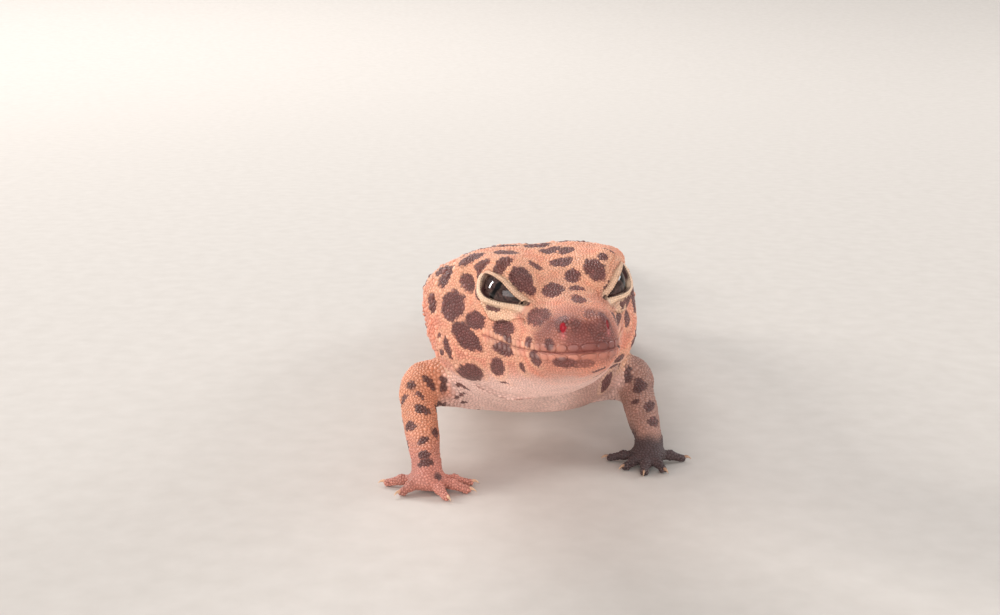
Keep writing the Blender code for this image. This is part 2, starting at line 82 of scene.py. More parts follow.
#   back   half-width  top   bottom  widest at z  squareness above, below
HEAD = table([
    (0.00, 0.30, 0.90, -0.50, 0.3, 2.0, 2.0),
    (0.30, 1.90, 2.00, -1.50, 0.3, 2.1, 2.1),
    (0.90, 2.95, 3.10, -2.20, 0.3, 2.2, 2.2),
    (2.00, 3.90, 4.00, -2.75, 0.4, 2.3, 2.3),
    (4.00, 4.85, 4.85, -3.40, 0.5, 2.4, 2.4),
    (6.50, 5.55, 5.70, -4.30, 0.6, 2.4, 2.4),
    (9.50, 6.60, 7.20, -5.40, 1.0, 2.35, 2.3),
    (12.5, 8.10, 9.00, -6.50, 1.7, 2.25, 2.25),
    (16.0, 10.1, 10.05, -7.50, 2.7, 2.3, 2.2),
    (20.0, 12.1, 10.50, -8.10, 3.8, 2.3, 2.15),
    (24.5, 13.2, 10.25, -8.30, 4.5, 2.3, 2.1),
    (28.0, 12.7, 9.70, -8.30, 4.2, 2.25, 2.1),
    (31.0, 10.9, 9.00, -8.30, 3.2, 2.2, 2.1),
    (34.0, 9.30, 8.20, -8.60, 1.8, 2.1, 2.1),
    (37.0, 8.40, 7.30, -9.00, 0.8, 2.1, 2.1),
    (40.0, 7.60, 6.20, -9.20, 0.3, 2.1, 2.1),
    (44.0, 6.60, 4.20, -9.20, -0.8, 2.1, 2.1),
])
EYE_AT, EYE_R, LID_R = np.array([4.75, 13.2, 5.35]), 4.02, 4.50
CANTHUS_FRONT, CANTHUS_BACK = np.array([0.047, -0.99, -0.133]), np.array([0.80, -0.188, 0.57])
EAR_AT, EAR_OUT = (28.4, 1.5), (0.90, 0.43, 0.0)
#     y     centre x,  z    half-width  up   down  squareness above, below
BODY = table([
    (-17.0, -2.2, 21.6, 7.2, 7.4, 8.8, 2.0, 2.0),
    (-12.0, -1.9, 20.4, 8.2, 8.1, 9.4, 2.0, 2.1),
    (-6.0, -0.9, 17.6, 9.8, 9.2, 9.8, 2.15, 2.4),
    (0.0, -0.2, 14.8, 12.0, 10.1, 9.2, 2.3, 3.0),
    (6.0, 0.2, 13.2, 13.2, 10.5, 8.0, 2.3, 3.0),
    (14.0, 0.6, 12.2, 14.2, 10.7, 7.3, 2.2, 2.5),
    (26.0, 1.0, 11.6, 15.9, 10.4, 7.3, 2.1, 2.3),
    (38.0, 1.2, 11.4, 16.2, 10.2, 7.3, 2.08, 2.3),
    (48.0, 1.4, 11.5, 14.6, 8.9, 6.7, 2.08, 2.3),
    (57.0, 1.5, 11.3, 11.7, 7.6, 5.9, 2.1, 2.2),
    (65.0, 1.3, 10.7, 9.0, 6.7, 5.3, 2.1, 2.1),
    (70.0, 1.2, 9.5, 6.7, 5.8, 4.9, 2.05, 2.05),
    (74.0, 1.3, 8.3, 5.5, 4.9, 4.6, 2.0, 2.0),
    (79.0, 1.8, 6.9, 5.7, 4.9, 4.7, 2.0, 2.0),
    (87.0, 3.3, 5.5, 6.8, 5.3, 5.2, 2.0, 2.1),
    (97.0, 6.6, 5.2, 7.3, 5.3, 5.3, 2.0, 2.1),
    (107.0, 10.5, 4.6, 6.6, 4.7, 4.7, 2.0, 2.1),
    (118.0, 13.9, 3.5, 5.1, 3.6, 3.6, 2.0, 2.1),
    (130.0, 15.4, 2.4, 3.4, 2.5, 2.5, 2.0, 2.1),
    (141.0, 14.4, 1.5, 2.0, 1.55, 1.6, 2.0, 2.0),
    (148.0, 12.3, 0.85, 1.0, 0.85, 0.95, 2.0, 2.0),
    (151.0, 11.0, 0.55, 0.35, 0.32, 0.4, 2.0, 2.0),
])
BODY_FRONT, BODY_BACK = -17.0, 151.0
UPPER_ARM, FOREARM = (3.9, 3.7, 3.2), (2.5, 2.4, 1.85)
THIGH, SHIN = (4.9, 4.4, 3.3), (3.0, 2.8, 1.9)
HIND_TOES = [(-52, 6.6), (-26, 8.4), (-4, 9.8), (16, 10.2), (44, 7.6)]


def hind_tips(x, y, side):
    return [(x + side * n * math.sin(math.radians(a)), y - n * math.cos(math.radians(a))) for a, n in HIND_TOES]


LIMBS = {
    "front_right": dict(top=(-6.5, 3.5, 9.7), mid=(-15.0, -0.9, 10.1), fore=(-16.1, -2.6, 8.7), end=(-14.3, -14.4, 3.1),
                        palm=(-14.1, -16.0, 1.45), girths=(UPPER_ARM, FOREARM),
                        tips=[(-7.1, -14.7), (-7.4, -18.1), (-10.7, -21.7), (-18.4, -19.6), (-20.9, -14.7)]),
    "front_left": dict(top=(6.5, 7.0, 9.4), mid=(14.6, 8.4, 8.4), fore=(15.3, 7.2, 7.7), end=(16.3, -4.6, 3.1),
                       palm=(16.0, -6.2, 1.45), girths=(UPPER_ARM, FOREARM),
                       tips=[(9.5, -4.6), (11.6, -9.5), (14.8, -12.3), (18.4, -11.2), (22.4, -4.9)]),
    "hind_right": dict(top=(-5.5, 64.0, 10.6), mid=(-13.2, 53.5, 9.5), fore=(-13.3, 54.4, 9.0), end=(-11.6, 66.0, 3.9),
                       palm=(-11.6, 62.8, 1.5), girths=(THIGH, SHIN), tips=hind_tips(-11.6, 62.8, -1)),
    "hind_left": dict(top=(7.5, 65.0, 10.6), mid=(16.2, 56.5, 9.5), fore=(16.3, 57.4, 9.0), end=(14.4, 68.6, 3.9),
                      palm=(14.4, 65.6, 1.5), girths=(THIGH, SHIN), tips=hind_tips(14.4, 65.6, 1)),
}
PALM_HALF = (2.5, 2.7, 1.55)
TOE_ROOT, TOE_END = 0.90, 0.58
CLAW_LONG, FLOOR_DIP, GAP = 1.15, 0.10, 0.30
COAT = 0.12                     # how far the skin lies inside the solids


def unit(v):
    v = np.asarray(v, float)
    return v / np.linalg.norm(v)


def units(v):
    return v / np.maximum(np.linalg.norm(v, axis=1), 1e-12)[:, None]


def head_axes():
    cy, sy, cp, sp = math.cos(HEAD_YAW), math.sin(HEAD_YAW), math.cos(HEAD_PITCH), math.sin(HEAD_PITCH)
    cr, sr = math.cos(HEAD_ROLL), math.sin(HEAD_ROLL)
    return (np.array([[cy, -sy, 0], [sy, cy, 0], [0, 0, 1]]) @ np.array([[1, 0, 0], [0, cp, -sp], [0, sp, cp]])
            @ np.array([[cr, 0, sr], [0, 1, 0], [-sr, 0, cr]]))


AXES = head_axes()


def from_head(q):
    return np.asarray(q, float) @ AXES.T + HEAD_AT


def to_head(p):
    return (p - HEAD_AT) @ AXES


def soft_union(a, b, k):
    h = np.maximum(k - np.abs(a - b), 0) / k
    return np.minimum(a, b) - h * h * k * 0.25


def soft_cut(a, b, k):
    return -soft_union(-a, b, k)


def step(x, low, high):
    t = np.clip((x - low) / (high - low), 0, 1)
    return t * t * (3 - 2 * t)


def bell(x, width):
    return np.exp(-(x / width) ** 2)


def section(x, z, half, up, down, above, below):
    """How far (x, z) is outside a rounded section, measured from its middle."""
    n = np.where(z > 0, above, below)
    rho = ((np.abs(x) / half) ** n + (np.abs(z) / np.where(z > 0, up, down)) ** n) ** (1 / n)
    rho = np.maximum(rho, 1e-6)
    return np.maximum(np.hypot(x, z) * (1 - 1 / rho), -np.minimum(half, up))


def blob(p, at, half):
    q = (p - np.asarray(at, float)) / np.asarray(half, float)
    n = np.linalg.norm(q, axis=1)
    return n * (n - 1) / np.maximum(np.linalg.norm(q / np.asarray(half, float), axis=1), 1e-9)


def rod(p, a, b, ra, rb):
    a, b = np.asarray(a, float), np.asarray(b, float)
    t = np.clip((p - a) @ (b - a) / ((b - a) @ (b - a)), 0, 1)
    return np.linalg.norm(p - a - t[:, None] * (b - a), axis=1) - (ra + (rb - ra) * t)


def muscled(p, a, b, girths):
    """A limb's length with its swelling."""
    a, b = np.asarray(a, float), np.asarray(b, float)
    t = np.clip((p - a) @ (b - a) / ((b - a) @ (b - a)), 0, 1)
    r0, r1, r2 = girths
    r = np.interp(t, [0, 0.3, 0.65, 1], [r0, (r0 + r1) * 0.505, (r1 * 0.7 + r2 * 0.3) * 1.01, r2])
    return np.linalg.norm(p - a - t[:, None] * (b - a), axis=1) - r


def scramble(i, j, k, seed):
    n = (i * 73856093) ^ (j * 19349663) ^ (k * 83492791) ^ (seed * 83439)
    n = ((n ^ (n >> 13)) * 1274126177) & 0xFFFFFFFF
    return ((n ^ (n >> 16)) & 0xFFFF) / 32767.5 - 1


def noise(p, size, seed=0):
    """Smooth noise from -1 to 1 whose lumps are about size across."""
    q = np.asarray(p, float) / size + 512.0
    base = np.floor(q).astype(np.int64)
    t = q - base
    t = t * t * (3 - 2 * t)
    out = 0.0
    for dx in (0, 1):
        for dy in (0, 1):
            for dz in (0, 1):
                w = ((t[:, 0] if dx else 1 - t[:, 0]) * (t[:, 1] if dy else 1 - t[:, 1]) * (t[:, 2] if dz else 1 - t[:, 2]))
                out = out + w * scramble(base[:, 0] + dx, base[:, 1] + dy, base[:, 2] + dz, seed)
    return out


# ------------------------------------------------------------------ the face
FRONT, BACK = unit(CANTHUS_FRONT), unit(CANTHUS_BACK)
GAZE, ALONG = unit(FRONT + BACK), unit(FRONT - BACK)
UP = np.cross(GAZE, ALONG)
UP *= np.sign(UP[2])
HALF = math.acos(float(FRONT @ BACK)) / 2
#  the lid margins: place from -1 at the outer corner to 1 at the inner one, and their heights in degrees
LIDS = table([
    (-1.00, 0.00, 0.0), (-0.985, 0.6, -4.5), (-0.94, 1.5, -9.0), (-0.82, 2.9, -14.5), (-0.60, 4.8, -20.4), (-0.38, 5.8, -22.2),
    (-0.11, 5.8, -20.8), (0.25, 3.4, -16.2), (0.60, 1.1, -8.6), (0.85, 0.3, -3.2), (1.00, 0.0, 0.0),
])
MOUTH = table([(0.0, -0.05), (4.9, -0.15), (8.0, -0.14), (10.6, 0.24), (13.5, 0.88), (16.0, 1.5)])
MOUTH_END = 13.7
NOSTRIL, NOSTRIL_HALF = np.array([2.58, 0.82, 2.72]), (0.24, 0.34, 0.42)


def opening():
    """Distances from the outline of the eye's opening, on a grid of places along and above the eye's axis."""
    t = np.concatenate([-np.cos(np.linspace(0, np.pi / 2, 40)), np.linspace(0, 1, 40)[1:]])
    top, low = LIDS(t)
    loop = np.concatenate([np.stack([t * HALF, np.radians(top)], 1), np.stack([t * HALF, np.radians(low)], 1)[::-1][1:-1]])
    a, b = np.linspace(-1.7, 1.7, 256), np.linspace(-1.3, 1.3, 200)
    grid = np.stack(np.meshgrid(a, b, indexing="ij"), -1).reshape(-1, 2)
    best = np.full(len(grid), 9.0)
    for p, q in zip(loop, np.roll(loop, -1, 0)):
        k = np.clip((grid - p) @ (q - p) / max((q - p) @ (q - p), 1e-12), 0, 1)
        best = np.minimum(best, np.linalg.norm(grid - p - k[:, None] * (q - p), axis=1))
    top, low = LIDS(grid[:, 0] / HALF)
    within = (np.abs(grid[:, 0]) < HALF) & (grid[:, 1] < np.radians(top)) & (grid[:, 1] > np.radians(low))
    return loop, np.where(within, -best, best).reshape(len(a), len(b))


LOOP, OUTSIDE = opening()


def lid_place(m):
    """(distance from the eye's middle, distance outside the opening, 0 to 1 from upper to lower lid, place from -1 at the
    outer corner to 1 at the inner one) for points with x >= 0."""
    v = m - EYE_AT
    r = np.linalg.norm(v, axis=1)
    b = np.arcsin(np.clip(v @ UP / np.maximum(r, 1e-9), -1, 1))
    a = np.arctan2(v @ ALONG, v @ GAZE)
    x, y = np.clip((a + 1.7) / 3.4 * 255, 0, 254.999), np.clip((b + 1.3) / 2.6 * 199, 0, 198.999)
    i, j = x.astype(int), y.astype(int)
    x, y = x - i, y - j
    g = (OUTSIDE[i, j] * (1 - x) * (1 - y) + OUTSIDE[i + 1, j] * x * (1 - y) + OUTSIDE[i, j + 1] * (1 - x) * y + OUTSIDE[i + 1, j + 1] * x * y)
    g = g + np.maximum(np.abs(a) - 1.7, 0)
    top, low = LIDS(a / HALF)
    lower = step(np.radians(top + low) / 2 - b, -0.03, 0.05)
    return r, g * np.minimum(r, 6.0), lower, np.clip(a / HALF, -1.6, 1.6)


#  how far below the opening the fold under the lower lid lies, by the place along the lid
BAG = table([(-1.6, 0.9), (-0.8, 1.15), (-0.39, 1.6), (-0.15, 2.2), (0.19, 3.1), (0.64, 3.1), (0.88, 2.85), (1.0, 2.4), (1.10, 1.7), (1.3, 1.0)])
TEAR = (4.98, 9.1, 4.77), (4.54, 7.85, 4.82)


def bag(t):
    return BAG(t)[0]


def plain_head(q):
    w, top, low, level, above, below = HEAD(q[:, 1])
    d = section(q[:, 0], q[:, 2] - level, w, top - level, level - low, above, below)
    d = np.maximum(d, np.maximum(-q[:, 1], q[:, 1] - 44.0))
    m = q.copy()
    m[:, 0] = np.abs(m[:, 0])
    d = soft_cut(d, blob(m, (8.4, 6.0, 4.7), (2.4, 3.6, 1.7)), 1.4)
    d = soft_union(d, blob(m, (8.6, 22.6, -0.5), (3.7, 6.2, 4.7)), 2.5)
    d = soft_union(d, blob(m, (5.0, 18.2, 8.45), (5.2, 5.0, 1.95)), 2.0)
    d = soft_union(d, np.linalg.norm(m - EYE_AT, axis=1) - LID_R, 1.3)
    d = soft_union(d, rod(m, (4.2, 9.4, 6.4), (6.2, 12.6, 8.35), 0.9, 1.1), 1.2)
    d = soft_union(d, rod(m, (6.2, 12.6, 8.35), (7.6, 16.6, 8.1), 1.1, 1.2), 1.8)
    return soft_union(d, blob(m, (1.75, 1.55, 2.7), (1.25, 1.3, 1.15)), 0.9)


def plain_body(p):
    cx, cz, w, up, down, above, below = BODY(p[:, 1])
    d = section(p[:, 0] - cx, p[:, 2] - cz, w, up, down, above, below)
    d = np.maximum(d, np.maximum(BODY_FRONT - p[:, 1], p[:, 1] - BODY_BACK))
    near = p[:, 1] < 6.0
    out = d.copy()
    out[near] = soft_union(plain_head(to_head(p[near])), d[near], 4.0)
    return out


def ear_place():
    out = unit(EAR_OUT)
    reach = np.arange(5.0, 18.0, 0.02)
    start = np.array([0.0, EAR_AT[0] - 5.2, EAR_AT[1]])
    value = plain_body(from_head(start + reach[:, None] * out))
    return start + reach[np.nonzero(value < 0)[0][-1]] * out, out


EAR, EAR_DIR = ear_place()
EAR_ACROSS = np.cross((0, 0, 1.0), EAR_DIR)


def face(q, d):
    """Works the face and the folds of the throat and neck into the plain head."""
    m = q.copy()
    m[:, 0] = np.abs(m[:, 0])
    y, z = m[:, 1], m[:, 2]
    # lips: a parting line with a full margin on either side
    w = z - MOUTH(y)[0]
    fade = 1 - step(y, MOUTH_END - 1.2, MOUTH_END + 0.5)
    outer = (d > -1.5) & (d < 1.5)
    d = d + outer * fade * (0.24 * bell(w, 0.12) - 0.09 * bell(w - 0.55, 0.40) - 0.08 * bell(w + 0.52, 0.38))
    d = d + outer * fade * 0.04 * (bell(w - 1.15, 0.16) + bell(w + 1.1, 0.16))
    d = d - outer * 0.22 * bell(y - MOUTH_END - 0.9, 0.9) * bell(w - 0.2, 0.9)            # fullness behind the corner
    # nostrils
    d = soft_cut(d, blob(m, NOSTRIL, NOSTRIL_HALF), 0.20)
    # eyelids: beads along the margins, then the opening between them
    near = np.linalg.norm(m - EYE_AT, axis=1) < 7.4
    if near.any():
        r, g, lower, lid_t = lid_place(m[near])
        e = d[near]
        thick = 0.30 + 0.10 * lower + 0.11 * (1 - lower) * step(lid_t, -0.7, 0.1)
        e = soft_union(e, np.hypot(g - thick, r - 4.40) - thick, 0.22)
        shell = step(r, 3.6, 4.1) * (1 - step(r, 5.9, 6.9))
        fold = bag(lid_t)
        e = e + shell * ((0.14 * bell(g - 2.1 * thick, 0.13) + 0.20 * bell(g - 1.55, 0.20)) * (1 - lower)
                         + (0.15 * bell(g - 0.94, 0.14) - 0.24 * bell(g - 0.66 * fold, 0.24 * fold) + 0.36 * bell(g - fold, 0.20)) * lower)
        e = soft_cut(e, np.maximum(g, 3.42 - r), 0.16)
        e = soft_cut(e, rod(m[near], TEAR[0], TEAR[1], 0.16, 0.06), 0.14)
        d[near] = e
    # ear: a slit-like oval pit with a fold before it
    near = np.linalg.norm(m - EAR, axis=1) < 5
    if near.any():
        v = m[near] - EAR
        s, c, u = v @ EAR_DIR, v @ EAR_ACROSS, v[:, 2]
        e = soft_union(d[near], np.sqrt((np.hypot(c / 1.25, u / 2.1) - 1) ** 2 * 1.6 + (s + 0.05) ** 2) - 0.34, 0.5)
        k = np.sqrt((c / 0.80) ** 2 + (u / 1.62) ** 2 + (s / 1.75) ** 2)
        d[near] = soft_cut(e, (k - 1) * 0.8, 0.35)
    # folds: behind the jaw, under the cheek and round the throat
    low = 1 - step(z, -1.0, 3.5)
    side = step(m[:, 0], 3.0, 8.0)
    for at, lean, deep, wide, gate in ((30.2, 0.28, 0.34, 0.50, low), (32.6, 0.20, 0.24, 0.45, low), (35.0, 0.12, 0.20, 0.45, low),
                                       (25.6, 0.55, 0.20, 0.42, low * side * (1 - step(z, -6.5, -4.5)))):
        c = y + lean * z - at + 0.25 * noise(q, 3.0, 4)
        d = d + gate * deep * (bell(c, wide) - 0.55 * bell(c - 1.3 * wide * 1.6, wide * 1.3))
    c = z + 0.42 * (y - 17.5) + 4.6 + 0.3 * noise(q, 4.0, 5)                               # from the corner of the mouth back
    d = d + 0.15 * bell(c, 0.35) * step(y, 13.5, 17) * (1 - step(y, 23, 26)) * side
    d = d + outer * 0.16 * bell(y - 2.3 - 0.12 * m[:, 0] ** 2, 0.24) * (1 - step(m[:, 0], 1.6, 2.6)) * (z < -1.2)   # under the chin
    d = d - 0.085 * noise(q, 1.9, 1) * step(y, 3, 12) - 0.05 * noise(q, 0.95, 2)
    return d


def body(p):
    cx, cz, w, up, down, above, below = BODY(p[:, 1])
    d = section(p[:, 0] - cx, p[:, 2] - cz, w, up, down, above, below)
    d = np.maximum(d, np.maximum(BODY_FRONT - p[:, 1], p[:, 1] - BODY_BACK))
    y = p[:, 1]
    side = np.abs(p[:, 0] - cx) / w
    trunk = step(y, 2, 12) * (1 - step(y, 60, 70))
    flank = step(side, 0.5, 0.95)
    d = d - trunk * (0.20 * noise(p, 7.0, 6) + 0.10 * noise(p * (1, 1.8, 1), 3.2, 7)) * (0.5 + flank)
    level = p[:, 2] - cz
    d = d + trunk * flank * 0.28 * bell(level + 1.4 + 0.5 * np.sin(y / 4.3), 0.55)          # fold along the flank
    tail = step(y, 76, 84)
    ring = np.abs(((y - 80.0) / 5.6 + 0.06 * noise(p, 6.0, 8)) % 1.0 - 0.5) * 2             # 1 at a ring's crease
    d = d + tail * 0.24 * step(ring, 0.72, 1.0) * (1 - step(y, 140, 149))
    near = p[:, 1] < 6.0
    if near.any():
        q = to_head(p[near])
        h = plain_head(q)
        close = h < 3.0
        h[close] = face(q[close], h[close])
        d[near] = soft_union(h, d[near], 4.0)
    return d


def toe_path(spec, tip):
    palm = np.array(spec["palm"])
    ahead = unit((tip[0] - palm[0], tip[1] - palm[1], 0))
    end = np.array([tip[0], tip[1], TOE_END - FLOOR_DIP]) - ahead * (CLAW_LONG + TOE_END + GAP / 2 - 0.40)
    root = palm + ahead * 0.8 + (0, 0, -0.25)
    knuckle = root * 0.42 + end * 0.58 + (0, 0, 0.28)
    return root, knuckle, end, ahead


for spec in LIMBS.values():
    spec["toes"] = [toe_path(spec, tip) for tip in spec["tips"]]
    reach = np.array([spec[k] for k in ("top", "mid", "fore", "end", "palm")] + [t[2] for t in spec["toes"]])
    spec["low"], spec["high"] = reach.min(0) - 6.5, reach.max(0) + 6.5


def limb(p, spec):
    d = muscled(p, spec["top"], spec["mid"], spec["girths"][0])
    d = soft_union(d, muscled(p, spec["fore"], spec["end"], spec["girths"][1]), 1.8)
    palm = np.array(spec["palm"])
    out = np.full(len(p), 50.0)
    near = np.linalg.norm(p - palm, axis=1) < 16
    if near.any():
        q = p[near]
        f = soft_union(blob(q, palm, PALM_HALF), rod(q, spec["end"], palm + (0, 0, 0.5), 1.7, 1.65), 0.9)
        for root, knuckle, end, ahead in spec["toes"]:
            toe = soft_union(rod(q, root, knuckle, TOE_ROOT, 0.66), rod(q, knuckle, end, 0.67, TOE_END - 0.03), 0.25)
            toe = soft_union(toe, np.linalg.norm(q - knuckle, axis=1) - 0.76, 0.3)
            toe = soft_union(toe, np.linalg.norm(q - end + ahead * 0.1, axis=1) - TOE_END, 0.2)
            f = soft_union(f, toe, 0.45)
        out[near] = f
    d = soft_union(d, out, 1.0)
    wrist = np.asarray(spec["end"])
    bend = np.asarray(spec["fore"])
    d = d + 0.13 * bell((p - wrist) @ unit(wrist - bend) + 0.6, 0.30) + 0.14 * bell((p - bend) @ unit(wrist - bend) - 1.2, 0.35)
    return d - 0.07 * noise(p, 1.8, 9)


def skin(p):
    d = body(p)
    for spec in LIMBS.values():
        near = np.all((p > spec["low"]) & (p < spec["high"]), axis=1)
        if near.any():
            d[near] = soft_union(d[near], limb(p[near], spec), 2.4)
    return soft_cut(d + COAT, p[:, 2], 0.25)          # flat where it rests on the floor


def slope(p, e=0.03):
    """The field's gradient."""
    out = np.empty_like(p)
    for k in range(3):
        s = np.zeros(3)
        s[k] = e
        out[:, k] = (skin(p + s) - skin(p - s)) / (2 * e)
    return out


def settle(p, times=2, most=0.25):
    for _ in range(times):
        d = skin(p)
        g = np.stack([(skin(p + s) - d) / 0.02 for s in np.eye(3) * 0.02], axis=1)
        move = g * (d / np.maximum((g * g).sum(1), 0.05))[:, None]
        size = np.linalg.norm(move, axis=1)
        p = p - move * np.minimum(1, most / np.maximum(size, 1e-9))[:, None]
    return p


# ------------------------------------------------------------------ from the field to a mesh
CORNERS = [(0, 0, 0), (1, 0, 0), (0, 1, 0), (1, 1, 0), (0, 0, 1), (1, 0, 1), (0, 1, 1), (1, 1, 1)]
EDGES = [(a, b) for a in range(8) for b in range(a + 1, 8) if sum(abs(x - y) for x, y in zip(CORNERS[a], CORNERS[b])) == 1]


def net(low, high, h):
    """Points and four-cornered faces on the field's zero surface."""
    n = 4
    big = n * h
    coarse = [np.arange(low[k], high[k] + big, big) for k in range(3)]
    shape = [len(c) for c in coarse]
    grid = np.stack(np.meshgrid(*coarse, indexing="ij"), -1).reshape(-1, 3)
    rough = skin(grid).reshape(shape)
    fine = [s * n for s in shape]
    value = np.repeat(np.repeat(np.repeat(rough, n, 0), n, 1), n, 2).astype(np.float32)
    # a fine point takes the coarse sample at or before it, so the band is wide
    close = np.abs(value) < 5.0
    index = np.stack(np.nonzero(close), -1)
    points = index * h + np.asarray(low)
    out = np.empty(len(points), np.float32)
    for i in range(0, len(points), 400000):
        out[i:i + 400000] = skin(points[i:i + 400000])
    value[close] = out
    inside = value < 0
    count = sum(inside[c[0]:fine[0] - 1 + c[0], c[1]:fine[1] - 1 + c[1], c[2]:fine[2] - 1 + c[2]].astype(np.int8) for c in CORNERS)
    cell = np.stack(np.nonzero((count > 0) & (count < 8)), -1)
    v = np.stack([value[cell[:, 0] + c[0], cell[:, 1] + c[1], cell[:, 2] + c[2]] for c in CORNERS], 1).astype(float)
    total, times = np.zeros((len(cell), 3)), np.zeros(len(cell))
    for a, b in EDGES:
        cross = (v[:, a] < 0) != (v[:, b] < 0)
        t = np.where(cross, v[:, a] / np.where(cross, v[:, a] - v[:, b], 1), 0)
        spot = np.array(CORNERS[a], float) + t[:, None] * (np.array(CORNERS[b], float) - np.array(CORNERS[a], float))
        total += spot * cross[:, None]
        times += cross
    place = (cell + total / times[:, None]) * h + np.asarray(low)
    number = np.full([f - 1 for f in fine], -1, np.int32)
    number[cell[:, 0], cell[:, 1], cell[:, 2]] = np.arange(len(cell))
    faces = []
    for axis in range(3):
        u, w = (axis + 1) % 3, (axis + 2) % 3
        first = [slice(0, f - 1) for f in fine]
        second = [slice(0, f - 1) for f in fine]
        second[axis] = slice(1, fine[axis])
        for k in (u, w):
            first[k] = second[k] = slice(1, fine[k] - 1)
        cross = inside[tuple(first)] != inside[tuple(second)]
        at = np.stack(np.nonzero(cross), -1)
        at[:, u] += 1
        at[:, w] += 1
        goes = inside[at[:, 0], at[:, 1], at[:, 2]]
        ring = []
        for du, dw in ((0, 0), (-1, 0), (-1, -1), (0, -1)):
            c = at.copy()
            c[:, u] += du
            c[:, w] += dw
            ring.append(number[c[:, 0], c[:, 1], c[:, 2]])
        ring = np.stack(ring, 1)
        faces.append(np.where(goes[:, None], ring, ring[:, ::-1]))
    return place, np.concatenate(faces)


def refine(v, f, target):
    """Splits each edge that is longer than the target size at its middle."""
    a, b, c = f[:, 0], f[:, 1], f[:, 2]
    n = len(v)
    ends = np.concatenate([np.stack([a, b], 1), np.stack([b, c], 1), np.stack([c, a], 1)])
    ends.sort(axis=1)
    keys, back = np.unique(ends[:, 0].astype(np.int64) * n + ends[:, 1], return_inverse=True)
    e0, e1 = keys // n, keys % n
    middle = (v[e0] + v[e1]) / 2
    split = np.linalg.norm(v[e0] - v[e1], axis=1) > 1.35 * target(middle)
    number = np.where(split, n + np.cumsum(split) - 1, -1)
    m = number[back.reshape(3, -1)].T                       # the new point on ab, bc, ca
    v = np.concatenate([v, middle[split]])
    count = (m >= 0).sum(1)
    out = [f[count == 0]]
    for turn in range(3):
        x, y, z = f[:, turn], f[:, (turn + 1) % 3], f[:, (turn + 2) % 3]
        xy, yz, zx = m[:, turn], m[:, (turn + 1) % 3], m[:, (turn + 2) % 3]
        k = (count == 1) & (xy >= 0)
        out += [np.stack([x, xy, z], 1)[k], np.stack([xy, y, z], 1)[k]]
        k = (count == 2) & (zx < 0)
        out += [np.stack([xy, y, yz], 1)[k], np.stack([x, xy, yz], 1)[k], np.stack([x, yz, z], 1)[k]]
    k = count == 3
    out += [np.stack(t, 1)[k] for t in ((a, m[:, 0], m[:, 2]), (m[:, 0], b, m[:, 1]), (m[:, 2], m[:, 1], c), (m[:, 0], m[:, 1], m[:, 2]))]
    return v, np.concatenate(out)


def relax(v, f, share):
    """Moves each point part of the way to the mean of its neighbours."""
    total, times = np.zeros_like(v), np.zeros(len(v))
    for i, j in ((0, 1), (1, 2), (2, 0)):
        for s, t in ((i, j), (j, i)):
            np.add.at(total, f[:, s], v[f[:, t]])
            times += np.bincount(f[:, s], minlength=len(v))
    return v + share * (total / times[:, None] - v)


def fineness(p):
    q = to_head(p)
    m = np.abs(q[:, :1])
    m = np.concatenate([m, q[:, 1:]], 1)
    size = np.full(len(p), 0.66)
    size[q[:, 1] < 31] = 0.42
    palms = np.min([np.linalg.norm((p - spec["palm"]) * (1, 1, 1.5), axis=1) for spec in LIMBS.values()], axis=0)
    size[palms < 10] = np.minimum(size[palms < 10], 0.36)
    w = np.abs(q[:, 2] - MOUTH(q[:, 1])[0])
    size[(w < 0.75) & (q[:, 1] < MOUTH_END + 1) & (q[:, 1] > -1)] = 0.17
    r, g, _, _ = lid_place(m)
    size[(r < 6.6) & (g < 3.6)] = 0.19
    size[(r < 5.2) & (np.abs(g) < 0.9)] = 0.13
    size[np.linalg.norm(m - NOSTRIL, axis=1) < 1.3] = 0.13
    size[np.linalg.norm(m - EAR, axis=1) < 2.8] = 0.22
    return size * 1.0


def build_skin():
    v, quads = net((-24.5, -47.5, -1.0), (26.0, 152.5, 36.0), 0.55)
    tick(f"net {len(v)} points")
    f = np.concatenate([quads[:, [0, 1, 2]], quads[:, [0, 2, 3]]])
    v = settle(v, 2)
    for turn in range(3):
        v, f = refine(v, f, fineness)
        v = settle(v, 1, 0.12)
        tick(f"refined to {len(f)} triangles")
    v = relax(v, f, 0.35)
    v = settle(v, 2, 0.10)
    used = np.zeros(len(v), bool)
    used[f.ravel()] = True
    return v, f


# ------------------------------------------------------------------ meshes in Blender
def mesh_object(name, points, faces, smooth=True):
    mesh = bpy.data.meshes.new(name)
    mesh.vertices.add(len(points))
    mesh.vertices.foreach_set("co", ((points - ORIGIN) * MM).astype(np.float32).ravel())
    k = faces.shape[1]
    mesh.loops.add(faces.size)
    mesh.loops.foreach_set("vertex_index", faces.astype(np.int32).ravel())
    mesh.polygons.add(len(faces))
    mesh.polygons.foreach_set("loop_start", np.arange(0, faces.size, k, dtype=np.int32))
    mesh.polygons.foreach_set("loop_total", np.full(len(faces), k, np.int32))
    mesh.polygons.foreach_set("use_smooth", np.full(len(faces), smooth, bool))
    mesh.update(calc_edges=True)
    mesh.validate()
    obj = bpy.data.objects.new(name, mesh)
    bpy.context.scene.collection.objects.link(obj)
    return obj


def paint(obj, name, colour):
    layer = obj.data.color_attributes.new(name, "FLOAT_COLOR", "POINT")
    rgba = np.ones((len(colour), 4), np.float32)
    rgba[:, :3] = colour
    layer.data.foreach_set("color", rgba.ravel())


def number(obj, name, values):
    layer = obj.data.attributes.new(name, "FLOAT", "POINT")
    layer.data.foreach_set("value", np.asarray(values, np.float32))


# ------------------------------------------------------------------ markings
def srgb(*c):
    c = np.array(c, float) / 255
    return np.where(c <= 0.04045, c / 12.92, ((c + 0.055) / 1.055) ** 2.4)


